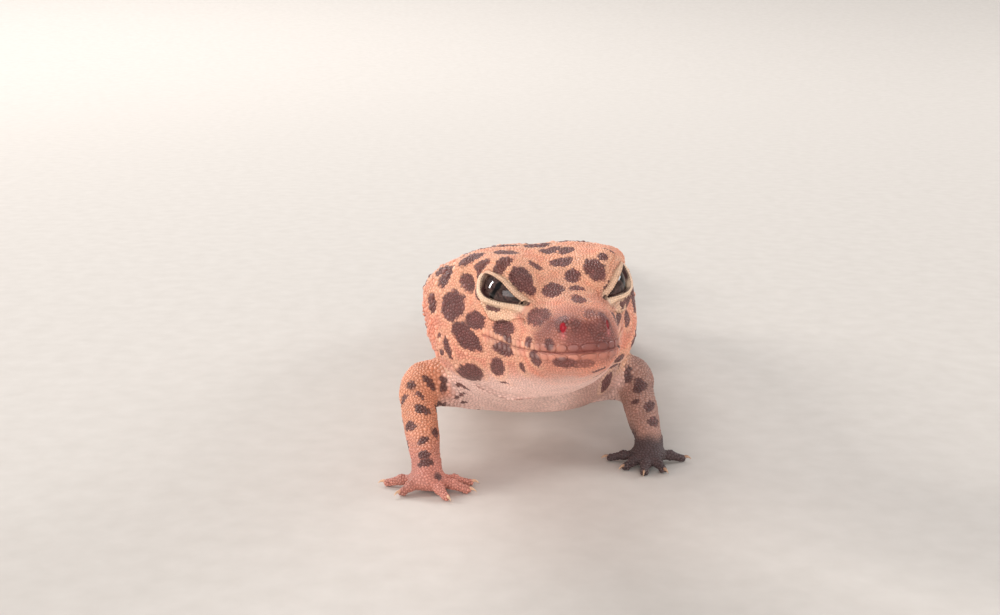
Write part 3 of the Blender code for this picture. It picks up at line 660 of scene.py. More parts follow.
CROWN, CHEEK, SNOUT = srgb(229, 160, 129), srgb(220, 145, 121), srgb(134, 72, 64)
LIPS, THROAT, LID = srgb(206, 140, 120), srgb(242, 200, 188), srgb(240, 206, 176)
LID_UPPER = srgb(226, 186, 156)
BACK_ORANGE, FLANK, BELLY = srgb(212, 150, 110), srgb(212, 156, 126), srgb(244, 206, 194)
# the left foreleg and foot are browner and darker than the right: partly their own tone, partly painted shade
ARM, ARM_LEFT_TONE_AND_SHADE, FOOT, FOOT_LEFT_TONE_AND_SHADE = srgb(222, 154, 122), srgb(176, 134, 120), srgb(204, 136, 120), srgb(80, 62, 62)
ARM_ROOT, PALE = srgb(222, 164, 150), srgb(244, 196, 160)
TAIL = srgb(214, 162, 130)
BLOTCH, BLOTCH_WARM, SPOT_GREY = srgb(98, 54, 54), srgb(124, 70, 62), srgb(100, 78, 74)

#  markings of the head, in the head's own frame: name, middle x, y, z, half-length, half-width, turn in degrees, warmth
HEAD_MARKS = [
    ("temple edge", -12.9, 22.1, 4.2, 1.2, 1.0, -50, 0.1),
    ("temple", -11.0, 20.9, 7.35, 1.8, 1.2, -47, 0.0),
    ("temple top", -11.2, 23.2, 8.0, 1.2, 0.9, 48, 0.0),
    ("crown side", -8.5, 16.9, 9.1, 2.0, 1.25, 60, 0.0),
    ("crown rim 2", -6.8, 20.6, 9.9, 1.9, 1.0, 65, 0.0),
    ("crown side 2", -8.0, 13.9, 8.9, 1.3, 0.8, 62, 0.3),
    ("lid tail", -8.3, 13.9, 7.6, 1.0, 0.45, -33, 0.4),
    ("behind eye", -8.9, 16.4, 6.8, 1.9, 1.1, 8, 0.1),
    ("behind eye 2", -9.0, 12.9, 5.9, 1.2, 0.45, 5, 0.4),
    ("upper cheek", -11.1, 17.9, 4.1, 2.3, 1.75, 47, 0.0),
    ("cheek", -9.1, 14.3, 2.6, 1.8, 1.2, 23, 0.0),
    ("crown rim", -7.5, 21.7, 9.5, 1.8, 0.8, -65, 0.0),
    ("brow patch", -6.6, 11.0, 8.9, 1.3, 0.8, 83, 0.45),
    ("brow front", -4.9, 9.2, 7.7, 1.7, 1.35, 10, 0.0),
    ("brow front 2", -4.3, 8.2, 6.5, 1.1, 0.7, 20, 0.1),
    ("crown 1", -4.3, 19.1, 10.0, 2.0, 0.9, 63, 0.1),
    ("crown 0", -2.6, 11.4, 8.6, 0.9, 0.55, 60, 0.5),
    ("crown 2", -5.0, 15.0, 10.0, 1.5, 1.15, 60, 0.1),
    ("under eye", -7.72, 10.4, 4.45, 1.15, 0.36, -14, 0.2),
    ("crown 3", -0.4, 18.0, 10.0, 2.1, 1.1, -53, 0.0),
    ("crown 4", 0.5, 15.5, 9.5, 1.6, 0.95, -50, 0.0),
    ("crown 5", 2.2, 14.9, 9.3, 1.3, 0.95, -39, 0.1),
    ("crown 6", 0.9, 12.4, 8.7, 1.6, 1.0, -62, 0.15),
    ("between eyes", 1.4, 9.8, 7.4, 1.3, 1.0, -12, 0.2),
    ("snout top", -1.6, 7.8, 6.2, 1.5, 1.15, -20, 0.3),
    ("snout left", 1.3, 7.6, 6.2, 1.0, 0.55, -75, 0.35),
    ("snout left 2", 0.6, 5.3, 5.2, 1.2, 0.9, 13, 0.5),
    ("crown 7", 4.8, 20.2, 10.0, 2.6, 1.4, -52, 0.0),
    ("crown 8", -0.8, 22.4, 10.4, 1.8, 1.2, 70, 0.0),
    ("left brow", 4.0, 9.6, 8.1, 1.8, 1.1, 12, 0.2),
    ("left brow back", 5.5, 11.0, 9.2, 0.7, 0.6, -20, 0.0),
    ("under left eye", 7.1, 9.5, 4.6, 1.0, 0.6, -16, 0.2),
    ("snout side left", 0.9, 2.0, 4.0, 1.1, 0.7, -4, 0.7),
    ("snout side left 2", 2.4, 1.5, 3.7, 1.2, 0.7, 0, 0.5),
    ("snout side", -4.2, 5.2, 3.6, 1.8, 1.2, 34, 0.55),
    ("lip blotch", -6.9, 10.0, 1.9, 1.9, 0.95, 16, 0.1),
    ("lip dot", -6.6, 9.5, 0.75, 0.8, 0.5, 10, 0.2),
    ("lip dot 2", -5.3, 5.6, 0.75, 0.75, 0.6, 10, 0.2),
    ("lip dot 3", -3.9, 2.1, 0.80, 0.75, 0.6, 0, 0.3),
    ("lower lip back", -6.9, 10.6, -0.6, 1.8, 0.8, 3, 0.1),
    ("lower lip", -4.8, 4.7, -1.1, 1.1, 1.0, 10, 0.2),
    ("jaw dot", -5.4, 8.5, -2.6, 0.8, 0.5, 64, 0.2),
    ("chin", -2.7, 1.1, -1.2, 1.4, 0.75, -1, 0.5),
    ("chin 2", -0.6, 0.3, -1.3, 1.5, 0.6, 90, 0.75),
    ("jaw angle", -10.1, 15.7, 0.4, 2.5, 1.35, -8, 0.0),
    ("neck side", -12.1, 18.7, -1.1, 1.5, 0.7, -65, 0.0),
    ("neck side 2", -12.6, 20.4, -1.8, 0.7, 0.4, 1, 0.0),
    ("neck side 3", -12.8, 20.3, 0.3, 0.5, 0.3, 38, 0.0),
    ("jaw", -7.2, 13.0, -3.0, 1.7, 1.1, 43, 0.1),
    ("throat side", -9.5, 18.1, -4.8, 2.6, 1.7, 11, 0.0),
    ("throat dot", -6.1, 14.5, -5.2, 0.8, 0.25, -11, 0.1),
    ("left jaw edge", 9.0, 16.8, -3.9, 1.6, 0.8, -3, 0.2),
    ("left cheek edge", 9.4, 14.8, 1.4, 1.7, 1.0, -44, 0.2),
    ("snout front left", 1.1, 0.35, 1.7, 1.3, 0.75, 60, 0.7),
    ("nostril shade", -2.9, 1.2, 3.3, 1.3, 0.9, -12, 0.6),
    ("nostril shade left", -1.2, 0.5, 2.9, 0.8, 0.7, 31, 0.8),
    # the side that faces away
    ("left temple", 10.9, 21.6, 7.2, 1.7, 1.2, -20, 0.0),
    ("left cheek", 10.9, 19.4, 3.2, 2.0, 1.5, 30, 0.0),
    ("left jaw angle", 10.6, 19.2, -1.2, 2.1, 1.1, 10, 0.0),
    ("left lip", 6.7, 9.4, 1.9, 1.6, 0.9, -10, 0.1),
    ("left lower lip", 6.6, 10.2, -0.9, 1.4, 0.7, 0, 0.1),
    ("left throat side", 8.9, 19.0, -5.4, 1.8, 0.9, 0, 0.0),
    ("left behind eye", 8.8, 17.4, 6.6, 1.5, 1.0, 15, 0.1),
]
#  markings of the forelegs: x, y, z, half-length, half-width, turn
ARM_MARKS = [
    (-18.0, -4.9, 9.0, 0.8, 0.7, 85), (-16.8, -4.0, 10.7, 0.7, 0.5, 63), (-16.7, -10.2, 6.9, 1.1, 0.6, 58),
    (-15.0, -8.2, 8.7, 1.1, 0.65, 84), (-14.8, -13.3, 5.9, 0.9, 0.6, -32), (-14.5, -15.4, 4.6, 0.7, 0.6, -86),
    (-14.2, -16.3, 3.7, 1.1, 0.5, -70), (-13.2, -11.0, 6.2, 0.8, 0.6, 14), (-15.5, -5.8, 9.9, 0.8, 0.3, 53),
    (-14.3, -3.9, 11.0, 1.3, 0.5, 69), (-12.3, -3.1, 10.7, 1.1, 0.5, 45), (-12.9, -2.2, 7.5, 1.5, 0.5, -12),
    (-9.7, -1.6, 7.8, 0.5, 0.3, -59), (-12.5, -17.5, 2.3, 0.6, 0.5, -49),
    (10.7, -1.2, 10.3, 1.5, 1.3, -65), (14.0, 5.1, 9.7, 1.2, 0.6, 39), (15.7, 2.9, 8.7, 1.5, 0.9, 7),
    (14.7, 0.3, 7.2, 0.6, 0.5, 71), (16.8, -0.8, 6.8, 1.3, 0.6, -12), (17.1, -3.5, 5.4, 1.2, 0.6, -21),
]
#  thin stripes where the throat meets the neck: from, to, half-width
THROAT_STRIPES = [
    ((-10.7, -3.0, 10.9), (-8.5, -6.1, 10.6), 0.42), ((-10.7, -1.1, 9.1), (-9.1, -3.8, 9.5), 0.24),
]
LEAN = unit((0.2, 0.9, 0.3))


def spread(points, spacing, order):
    """Indices of points kept so that none is nearer another than its own spacing."""
    tree = kdtree.KDTree(len(points))
    for i, p in enumerate(points.tolist()):
        tree.insert(p, i)
    tree.balance()
    gone = bytearray(len(points))
    kept = []
    rows, room = points.tolist(), spacing.tolist()
    for i in order:
        if gone[i]:
            continue
        kept.append(i)
        for _, j, _ in tree.find_range(rows[i], room[i]):
            gone[j] = 1
    return np.array(kept)


def scatter(v, f, weight, count, random):
    """Random places on the triangles, denser where the weight is larger."""
    a, b, c = v[f[:, 0]], v[f[:, 1]], v[f[:, 2]]
    area = np.linalg.norm(np.cross(b - a, c - a), axis=1) / 2 * weight
    k = np.searchsorted(np.cumsum(area) / area.sum(), random.random(count))
    k = np.clip(k, 0, len(f) - 1)
    s, t = np.sqrt(random.random(count)), random.random(count)
    return a[k] * (1 - s)[:, None] + b[k] * (s * (1 - t))[:, None] + c[k] * (s * t)[:, None]


def tangent(n, towards):
    t = towards - n * (n * towards).sum(1)[:, None]
    bad = np.linalg.norm(t, axis=1) < 0.05
    t[bad] = np.cross(n[bad], (1.0, 0, 0))
    return units(t)


def regions(p):
    """(head-local place, which limb is nearest or -1, how far along that limb from 0 to 3, how far out of the body)."""
    q = to_head(p)
    which = np.full(len(p), -1)
    along = np.zeros(len(p))
    leave = np.zeros(len(p))
    base = body(p)
    for i, spec in enumerate(LIMBS.values()):
        near = np.nonzero(np.all((p > spec["low"]) & (p < spec["high"]), axis=1))[0]
        if not len(near):
            continue
        d = limb(p[near], spec)
        mine = near[d < base[near]]
        which[mine] = i
        leave[mine] = (base[near] - d)[d < base[near]]
        s = p[mine]
        t = []
        for a, b in (("top", "mid"), ("fore", "end")):
            a, b = np.array(spec[a]), np.array(spec[b])
            t.append((np.clip((s - a) @ (b - a) / ((b - a) @ (b - a)), 0, 1), np.linalg.norm(
                s - a - np.clip((s - a) @ (b - a) / ((b - a) @ (b - a)), 0, 1)[:, None] * (b - a), axis=1) - spec["girths"][0 if a is None else 1][1]))
        upper = t[0][1] < t[1][1] + 0.6
        value = np.where(upper, t[0][0], 1 + t[1][0])
        foot = np.linalg.norm((s - spec["palm"]) * (1, 1, 1.3), axis=1)
        value = np.where((s[:, 2] < 2.6) | (foot < 2.8), 2 + np.clip(foot / 9, 0, 1), value)
        along[mine] = value
    return q, which, along, leave


class Markings:
    """One set of markings for skin and scales alike."""

    def __init__(self, v, f):
        random = np.random.default_rng(5)
        rows = []
        for name, x, y, z, a, b, turn, warm in HEAD_MARKS:
            at = from_head(np.array([[x, y, z]]))
            n = units(slope(at))
            ref = tangent(n, (LEAN @ AXES.T)[None])
            rows.append((at[0], n[0], ref[0], a, b, math.radians(turn), warm, 0.28))
        for x, y, z, a, b, turn in ARM_MARKS:
            at = np.array([[x, y, z]])
            n = units(slope(at))
            rows.append((at[0], n[0], tangent(n, LEAN[None])[0], a * 1.15, b * 1.15, math.radians(turn), 0.0, 0.30))
        for start, end, half in THROAT_STRIPES:
            start, end = np.array(start), np.array(end)
            at = settle(((start + end) / 2)[None], 2, 1.0)
            n = units(slope(at))
            rows.append((at[0], n[0], tangent(n, (end - start)[None])[0], np.linalg.norm(end - start) / 2, half, 0.0, 0.0, 0.12))
        told = np.array([r[0] for r in rows])
        told_size = np.array([max(r[3], r[4]) for r in rows])
        # spots elsewhere, spread evenly with uneven sizes
        eye = np.array([-4.5, -191.0, 65.0])
        places = scatter(v, f, np.ones(len(f)), 14000, random)
        places = settle(places, 1)
        n = units(slope(places))
        q, which, along, _ = regions(places)
        ahead = ((places - eye) * n).sum(1) < 0
        spacing = np.full(len(places), 4.5)
        spacing[which >= 0] = np.where(along[which >= 0] < 1, 3.3, 2.6)
        spacing[(q[:, 1] < 30) & (which < 0)] = 3.6
        tail = places[:, 1] > 76
        spacing[tail] = 3.4
        cx, cz, w, up, down, _, _ = BODY(places[:, 1])
        level = (places[:, 2] - cz) / np.where(places[:, 2] > cz, up, down)
        drop = ((q[:, 1] < 27.5) & (which < 0) & ahead) | ((q[:, 1] < 31) & (which < 0) & (q[:, 2] < -4.0))
        drop |= (which < 0) & (places[:, 1] > -18) & (level < -0.42) & (q[:, 1] > 31)
        drop |= (which >= 0) & (which < 2) & ahead & (along > 0.35)
        drop |= (which >= 0) & (along > 1.75)
        gap = np.min([np.linalg.norm(places - t, axis=1) - s for t, s in zip(told, told_size)], axis=0)
        drop |= gap < 1.3
        places, n, spacing, which, along, level, q = (x[~drop] for x in (places, n, spacing, which, along, level, q))
        kept = spread(places, spacing, range(len(places)))
        for i in kept:
            p = places[i]
            size = random.uniform(0.27, 0.44) * spacing[i]
            size *= 0.72 if which[i] < 0 and level[i] < -0.1 and q[i, 1] > 31 else 1.0
            narrow = random.uniform(0.55, 0.95)
            along_body = np.array([[0.0, 1.0, 0.0]])
            ref = tangent(n[i:i + 1], along_body)
            rows.append((p, n[i], ref[0], size, size * narrow, random.normal(0, 0.7), random.uniform(0, 0.25), 0.42))
        self.rows = rows

    def darkness(self, p, n):
        """(how dark, how warm) the markings are at points p with normals n, and how near a marking's pale border is."""
        dark, warm, halo = np.zeros(len(p)), np.zeros(len(p)), np.zeros(len(p))
        rough = 0.55 * noise(p, 0.9, 11) + 0.45 * noise(p, 0.42, 12)
        for at, normal, ref, a, b, turn, w, uneven in self.rows:
            d = p - at
            k = np.nonzero(np.abs(d).max(1) < 1.8 * a + 0.8)[0]
            if not len(k):
                continue
            d = d[k]
            side = np.cross(normal, ref)
            s, t = d @ ref, d @ side
            x, y = s * math.cos(turn) + t * math.sin(turn), -s * math.sin(turn) + t * math.cos(turn)
            rho = np.sqrt((x / a) ** 2 + (y / b) ** 2 + (d @ normal / (0.8 * a + 1.0)) ** 2)
            value = step(1 - rho + uneven * rough[k], -0.07, 0.07) * (n[k] @ normal > -0.1)
            better = value > dark[k]
            warm[k[better]] = w
            dark[k] = np.maximum(dark[k], value)
            halo[k] = np.maximum(halo[k], bell((rho - 1.0) * min(a, b) - 0.32, 0.30) * (n[k] @ normal > -0.1))
        return dark, warm, halo

    def __call__(self, p, n, groove):
        """The colour at points p with normals n; groove is 1 between scales and 0 on them, and darkens the colour
        there: partly the darker skin between scales, partly painted shade in the gaps.
        """
        q, which, along, leave = regions(p)
        m = np.concatenate([np.abs(q[:, :1]), q[:, 1:]], 1)
        cx, cz, w, up, down, _, _ = BODY(p[:, 1])
        level = (p[:, 2] - cz) / np.where(p[:, 2] > cz, up, down)

        def mix(a, b, t):
            return a + (b - a) * t[:, None]
        wide = noise(p, 6.0, 21)
        fine = noise(p, 1.6, 22)
        y, z = q[:, 1], q[:, 2]
        # trunk and tail
        base = mix(np.tile(BACK_ORANGE, (len(p), 1)), FLANK, 1 - step(level, -0.1, 0.6))
        tail = step(p[:, 1] + 2.5 * wide, 68, 80)
        base = mix(base, TAIL, tail)
        under = 1 - step(level + 0.10 * wide, -0.62, -0.18)
        base = mix(base, BELLY, under)
        # the front of the body on the left side, below the jaw, turns pink-brown: painted shade
        breast_shade = step(p[:, 0], 3.0, 8.0) * (1 - step(p[:, 1], 2.0, 6.0)) * (1 - step(level, -0.1, 0.4))
        base = mix(base, srgb(198, 150, 136), breast_shade * 0.8)
        # head
        head = 1 - step(y + 1.2 * wide, 27.5, 34)
        h = mix(np.tile(CROWN, (len(p), 1)), CHEEK, 1 - step(z + 1.2 * fine, 2.5, 8.0))
        h = mix(h, srgb(222, 128, 96), 0.34 * step(fine + 0.6 * wide, 0.0, 0.8))
        h = mix(h, THROAT, 1 - step(z + 0.07 * (y - 12) + 0.5 * fine, -5.4, -2.6))
        nose = (1 - step(y + 0.20 * q[:, 0] + 0.6 * fine, 1.6, 5.0)) * (0.45 + 0.55 * step(z, -0.3, 0.0)) * step(z, -2.1, -0.9)
        nose = nose * (1 - 0.75 * step(z + 0.4 * fine, 2.9, 4.3)) * step(q[:, 0] + 0.9 * y + 0.5 * fine, -3.7, -0.9)
        h = mix(h, SNOUT, nose * 0.95)
        # the snout's left half is darker still: painted shade on the side away from the light
        h = mix(h, srgb(104, 60, 56), nose * step(q[:, 0] + 0.4 * fine, 0.2, 2.0) * 0.55)
        line = z - MOUTH(y)[0]
        lips = (1 - step(y, MOUTH_END - 2, MOUTH_END)) * (1 - step(np.abs(line), 0.9, 1.3))
        h = mix(h, LIPS, lips * 0.35 * step(y, 1.5, 5.0))
        r, g, lower, lid_t = lid_place(m)
        close = (r < 7.0) & (y > 5)
        front = step(lid_t, -0.7, 0.1)
        margin = 0.50 + 0.26 * lower + 0.32 * (1 - lower) * front
        rim = np.where(close & (r < 6.2), 1 - step(g, margin, margin + 0.16 + 0.12 * lower), 0) * step(y, 7.7, 8.5)
        fold = bag(lid_t)
        band = np.where(close, (1 - step(g, fold - 0.25, fold + 0.35)) * (0.10 + 0.80 * lower) * (1 - step(r, 5.8, 6.7)) * step(y, 7.6, 9.0), 0)
        h = mix(h, LID, band * 0.85)
        # a brownish strip inside the pale band under the eye: painted shade
        h = mix(h, srgb(190, 138, 116), np.where(close, band * bell(g - 1.30, 0.28) * 0.35, 0))
        # darker lines along the folds of the lids: painted shade in the creases
        crease_shade = np.where(close, bell(g - fold, 0.17) * lower * 0.50 + bell(g - 0.98, 0.12) * lower * 0.22 + bell(g - margin - 0.16, 0.12) * (1 - lower) * 0.30, 0)
        base = mix(base, h, head)
        # limbs
        # the left foreleg takes its darker colours: partly its own tone, partly painted shade
        for i, (arm, foot) in enumerate(((ARM, FOOT), (ARM_LEFT_TONE_AND_SHADE, FOOT_LEFT_TONE_AND_SHADE), (ARM, FOOT), (ARM, FOOT))):
            mine = which == i
            if not mine.any():
                continue
            a = along[mine]
            high = p[mine, 2] + 0.35 * fine[mine] + 0.3 * wide[mine]
            c = mix(np.tile(arm, (mine.sum(), 1)), foot, 1 - step(high, 3.2, 4.7 if i == 1 else 7.5))
            if i < 2:
                c = mix(c, ARM_ROOT, (1 - step(a + 0.12 * wide[mine], 0.50, 1.05)) * (1 - 0.9 * step(n[mine, 2], 0.25, 0.6)))
            inner = 1 - step(n[mine, 2] + 0.2 * wide[mine], -0.75, -0.25)
            c = mix(c, BELLY * 0.85, inner * (1 - step(a, 1.5, 2.0)) * 0.7)
            base[mine] = mix(base[mine], c, step(leave[mine], -0.2, 1.7))
        dark, warm, halo = self.darkness(p, n)
        base = mix(base, PALE, halo * 0.38 * (which < 0) * step(base[:, 2] * -1, -0.55, -0.35) * (1 - head * (1 - step(y, 2.5, 6.0))))
        # bands across the tail, broken and uneven
        ty = p[:, 1]
        bands = np.abs(((ty - 76.0) / 11.5 + 0.10 * wide) % 1.0 - 0.5) * 2
        edge = step(bands + 0.10 * fine + 0.06 * noise(p, 0.9, 11), 0.52, 0.60) * step(ty, 78, 83) * step(level + 0.12 * fine, -0.55, -0.40)
        dark = np.where((which < 0) & (ty > 76), np.maximum(edge, dark * 0.85), dark)
        dark = dark * (1 - rim)                                # lid margins stay pale
        spot = mix(np.tile(BLOTCH, (len(p), 1)), BLOTCH_WARM, np.clip(warm, 0, 1))
        spot = mix(spot, SPOT_GREY, ((which >= 0) & (which < 2)) * 0.35)
        spot = spot * (1 + 0.16 * noise(p, 0.7, 31))[:, None]
        strength = dark * np.where(warm > 0.6, 0.72, 0.94)
        out = base * (1 + 0.10 * wide + 0.10 * fine)[:, None]
        out = mix(out, spot, strength)
        out = mix(out, mix(np.tile(LID_UPPER, (len(p), 1)), LID, lower), rim)
        out = out * (1 - crease_shade)[:, None]
        # the wet inner edge of the lids, the parting of the lips and the nostrils
        wet = np.where(close, (1 - step(g, 0.11, 0.22)) * (1 - step(r, 4.55, 4.85)), 0)
        tear = rod(m, TEAR[0], TEAR[1], 0.0, 0.0)
        wet = np.maximum(wet, 1 - step(tear, 0.20, 0.36))
        out = mix(out, srgb(74, 40, 38), wet)
        part = (1 - step(y, MOUTH_END - 0.6, MOUTH_END + 0.3)) * (1 - step(np.abs(line), 0.03, 0.13)) * head
        out = mix(out, srgb(112, 52, 50), part * 0.85)
        hole = 1 - step(np.linalg.norm((m - NOSTRIL) / np.add(NOSTRIL_HALF, 0.15), axis=1), 0.92, 1.10)
        # a pink spot just below the nostril: painted wet highlight
        out = mix(out, srgb(224, 124, 122), bell(np.linalg.norm((m - NOSTRIL - (0.05, 0.0, -0.85)) / (0.30, 0.40, 0.42), axis=1), 1.0) * 0.6 * head)
        out = mix(out, srgb(196, 40, 58), hole)
        v = m - EAR
        pit = 1 - step(np.sqrt((v @ EAR_ACROSS / 0.94) ** 2 + (v[:, 2] / 1.76) ** 2 + (v @ EAR_DIR / 1.89) ** 2), 0.90, 1.06)
        out = mix(out, srgb(96, 60, 52), pit * (np.linalg.norm(v, axis=1) < 3))
        # the skin between scales is darker: partly its own tone, partly painted shade in the gaps
        return out * (1 - groove * (0.22 - 0.12 * lips * head))[:, None], dark


# ------------------------------------------------------------------ scales
SIDES = 7
CONE_SIDES = 10


def spacing_at(p, n):
    """Distance from scale to scale, and 0 where none grows."""
    q, which, along, _ = regions(p)
    m = np.concatenate([np.abs(q[:, :1]), q[:, 1:]], 1)
    y, z = q[:, 1], q[:, 2]
    cx, cz, w, up, down, _, _ = BODY(p[:, 1])
    level = (p[:, 2] - cz) / np.where(p[:, 2] > cz, up, down)
    size = np.full(len(p), 0.60)
    size = np.where(level < -0.35, 0.78, size)
    size = np.where(p[:, 1] < 4, 0.44 + 0.16 * step(level, -0.3, 0.3), size)
    size = np.where(p[:, 1] > 74, 0.66, size)
    size = np.where(p[:, 1] > 135, 0.48, size)
    head = y < 31
    on_head = 0.31 + 0.15 * step(y, 12, 28)
    on_head = np.where(z < -2.0, 0.32 + 0.16 * step(y, 10, 30), on_head)
    size = np.where(head, on_head, size)
    size = np.where((which >= 0) & (along < 1), 0.54, size)
    size = np.where((which >= 0) & (along >= 1), 0.42, size)
    size = np.where((which >= 0) & (along >= 2), 0.36, size)
    r, g, lower, lid_t = lid_place(m)
    eye = (r < 6.6) & (y > 5)
    size = np.where(eye & (g < 3.4), 0.29, size)
    size = np.where(rod(m, TEAR[0], TEAR[1], 0.0, 0.0) < 0.36, 0.0, size)
    size = np.where(eye & (g < 0.60 + 0.24 * lower + 0.20 * (1 - lower) * step(lid_t, -0.7, 0.1)), 0.0, size)
    size = np.where(r < 4.2, 0.0, size)
    line = z - MOUTH(y)[0]
    lips = (y < MOUTH_END - 0.3) & (line < 0.98) & (line > -0.92)
    size = np.where(lips, 0.0, size)
    size = np.where(np.linalg.norm((m - NOSTRIL) / np.add(NOSTRIL_HALF, 0.15), axis=1) < 1.15, 0.0, size)
    v = m - EAR
    pit = np.sqrt((v @ EAR_ACROSS / 0.94) ** 2 + (v[:, 2] / 1.76) ** 2 + (v @ EAR_DIR / 1.89) ** 2) < 1.08
    size = np.where(pit, 0.0, size)
    size = np.where((p[:, 2] < 0.16) & (n[:, 2] < -0.5), 0.0, size)
    return size * 1.0, q, which, along, level


def lie_of(p, n, q, which):
    """Which way scales point: back along the head and body, and down the limbs."""
    towards = np.tile([0.0, 1.0, -0.1], (len(p), 1))
    towards[q[:, 1] < 30] = (0.0, 1.0, -0.1) @ AXES.T
    for i, spec in enumerate(LIMBS.values()):
        mine = which == i
        a, b, c, d = (np.array(spec[k]) for k in ("top", "mid", "fore", "end"))
        s = p[mine]
        low = np.linalg.norm(s - (c + d) / 2, axis=1) < np.linalg.norm(s - (a + b) / 2, axis=1)
        t = np.where(low[:, None], unit(d - c), unit(b - a))
        foot = s[:, 2] < 2.6
        t[foot] = units((s[foot] - spec["palm"]) * (1, 1, 0.2) + 1e-6)
        towards[mine] = t
    return tangent(n, towards)


def lip_shields():
    """Rows of shields above and below the parting of the lips, round the snout from side to side."""
    out = []
    for upper in (True, False):
        level = 0.55 if upper else -0.53
        y = np.concatenate([np.linspace(0.02, 1.0, 60), np.linspace(1.0, MOUTH_END - 0.1, 300)[1:]])
        x = []
        for v in y:
            reach = np.arange(0.05, 12, 0.03)
            q = np.stack([reach, np.full(len(reach), v), np.full(len(reach), float(MOUTH(v)[0]) + level)], 1)
            d = skin(from_head(q))
            k = np.nonzero(d < 0)[0]
            x.append(reach[k[-1]] if len(k) else 0.0)
        path = np.stack([np.array(x), y], 1)
        path = path[path[:, 0] > 0]
        run = np.concatenate([[path[0, 0]], path[0, 0] + np.cumsum(np.linalg.norm(np.diff(path, axis=0), axis=1))])
        half = 0.95 if upper else 1.05                       # half of the middle shield
        edges = [half]
        k = 0
        while edges[-1] < run[-1]:
            edges.append(edges[-1] + (1.34 - 0.045 * k) * (1 + 0.08 * math.sin(2.3 * k + upper)))
            k += 1
        spots = [(0.0, half)] + [((a + b) / 2, (b - a) / 2) for a, b in zip(edges, edges[1:]) if b < run[-1] + 0.5]
        for at, long in spots:
            x0, y0 = np.interp(at, run, path[:, 0]) if at > run[0] else at, np.interp(at, run, path[:, 1])
            for side in ((1, -1) if at > 0 else (1,)):
                q = np.array([side * x0, y0, float(MOUTH(y0)[0]) + level])
                out.append((q, long, 0.42 if upper else 0.38))
    return out


def lid_beads():
    """Small beads along both lid margins."""
    out = []
    step_on = np.roll(LOOP, -1, 0) - np.roll(LOOP, 1, 0)
    normal = np.stack([step_on[:, 1], -step_on[:, 0]], 1)
    normal /= np.linalg.norm(normal, axis=1)[:, None]
    if (normal * (LOOP - LOOP.mean(0))).sum() < 0:
        normal = -normal
    for row, size in ((0.20, 0.13), (0.47, 0.14), (0.72, 0.13)):
        place = LOOP + normal * (row / 4.55)
        v = (np.cos(place[:, 0])[:, None] * GAZE + np.sin(place[:, 0])[:, None] * ALONG) * np.cos(place[:, 1])[:, None]
        path = EYE_AT + (v + UP * np.sin(place[:, 1])[:, None]) * 4.62
        path = np.concatenate([path, path[:1]])
        run = np.concatenate([[0], np.cumsum(np.linalg.norm(np.diff(path, axis=0), axis=1))])
        count = int(run[-1] / 0.29)
        for k in range(count):
            at = (k + 0.5 * (row == 0.47)) / count * run[-1]
            q = np.array([np.interp(at, run, path[:, i]) for i in range(3)])
            r, g, lower, lid_t = lid_place(q[None])
            if g[0] < row * 0.55 or (row > 0.6 and lower[0] < 0.5 and lid_t[0] < -0.3):
                continue
            ahead = np.array([np.interp(at + 0.1, run, path[:, i]) for i in range(3)]) - q
            for side in (1, -1):
                out.append((q * (side, 1, 1), size, 0.135, unit(ahead * (side, 1, 1) + 1e-9)))
    return out


def polygon(root, n, t1, neighbours, weight, weights, sides):
    """How far a scale reaches in each direction before it meets its neighbours."""
    t2 = np.cross(n, t1)
    d = neighbours - root[:, None, :]
    x, y = (d * t1[:, None, :]).sum(2), (d * t2[:, None, :]).sum(2)
    length = np.sqrt((d * d).sum(2))
    share = weight[:, None] / (weight[:, None] + weights)
    out = np.empty((len(root), sides))
    for k in range(sides):
        a = 2 * math.pi * (k + 0.5) / sides
        c = (x * math.cos(a) + y * math.sin(a)) / np.maximum(length, 1e-9)
        reach = np.where(c > 0.05, length * share / np.maximum(c, 0.05), 9.0)
        reach = np.minimum(reach, 3 * weight[:, None])
        out[:, k] = (reach**-9.0).sum(1) ** (-1 / 9.0)
    return out


def domes(root, n, t1, reach, height, profile, lean, tilt):
    """Closed low domes: rings of points given by (share of the reach, share of the height), and a top."""
    sides = reach.shape[1]
    t2 = np.cross(n, t1)
    a = 2 * np.pi * (np.arange(sides) + 0.5) / sides
    rings, places = [], []
    for share, rise in profile:
        x, y = reach * share * np.cos(a), reach * share * np.sin(a)
        z = height[:, None] * (rise + tilt * x / np.maximum(reach.mean(1), 1e-9)[:, None]) if rise > 0 else np.full_like(x, -0.07)
        shift = lean * height[:, None] * max(rise, 0)
        p = (root[:, None, :] + t1[:, None, :] * (x + shift)[..., None] + t2[:, None, :] * y[..., None] + n[:, None, :] * z[..., None])
        rings.append(p)
        places.append(np.stack([np.broadcast_to(share * np.cos(a), x.shape), np.broadcast_to(share * np.sin(a), x.shape)], -1))
    rings.append((root + t1 * (lean * height)[:, None] + n * height[:, None])[:, None, :])
    places.append(np.zeros((len(root), 1, 2)))
    points = np.concatenate(rings, 1)
    places = np.concatenate(places, 1)
    faces = []
    for r in range(len(profile) - 1):
        for k in range(sides):
            o, o2 = r * sides + k, r * sides + (k + 1) % sides
            faces += [(o, o2, o2 + sides), (o, o2 + sides, o + sides)]
    last, top = (len(profile) - 1) * sides, len(profile) * sides
    faces += [(last + k, last + (k + 1) % sides, top) for k in range(sides)]
    faces += [(0, k + 1, k) for k in range(1, sides - 1)]                       # the base
    ring_of = np.concatenate([np.full(sides, i / len(profile)) for i in range(len(profile))] + [[1.0]])
    return points, np.array(faces), places, ring_of


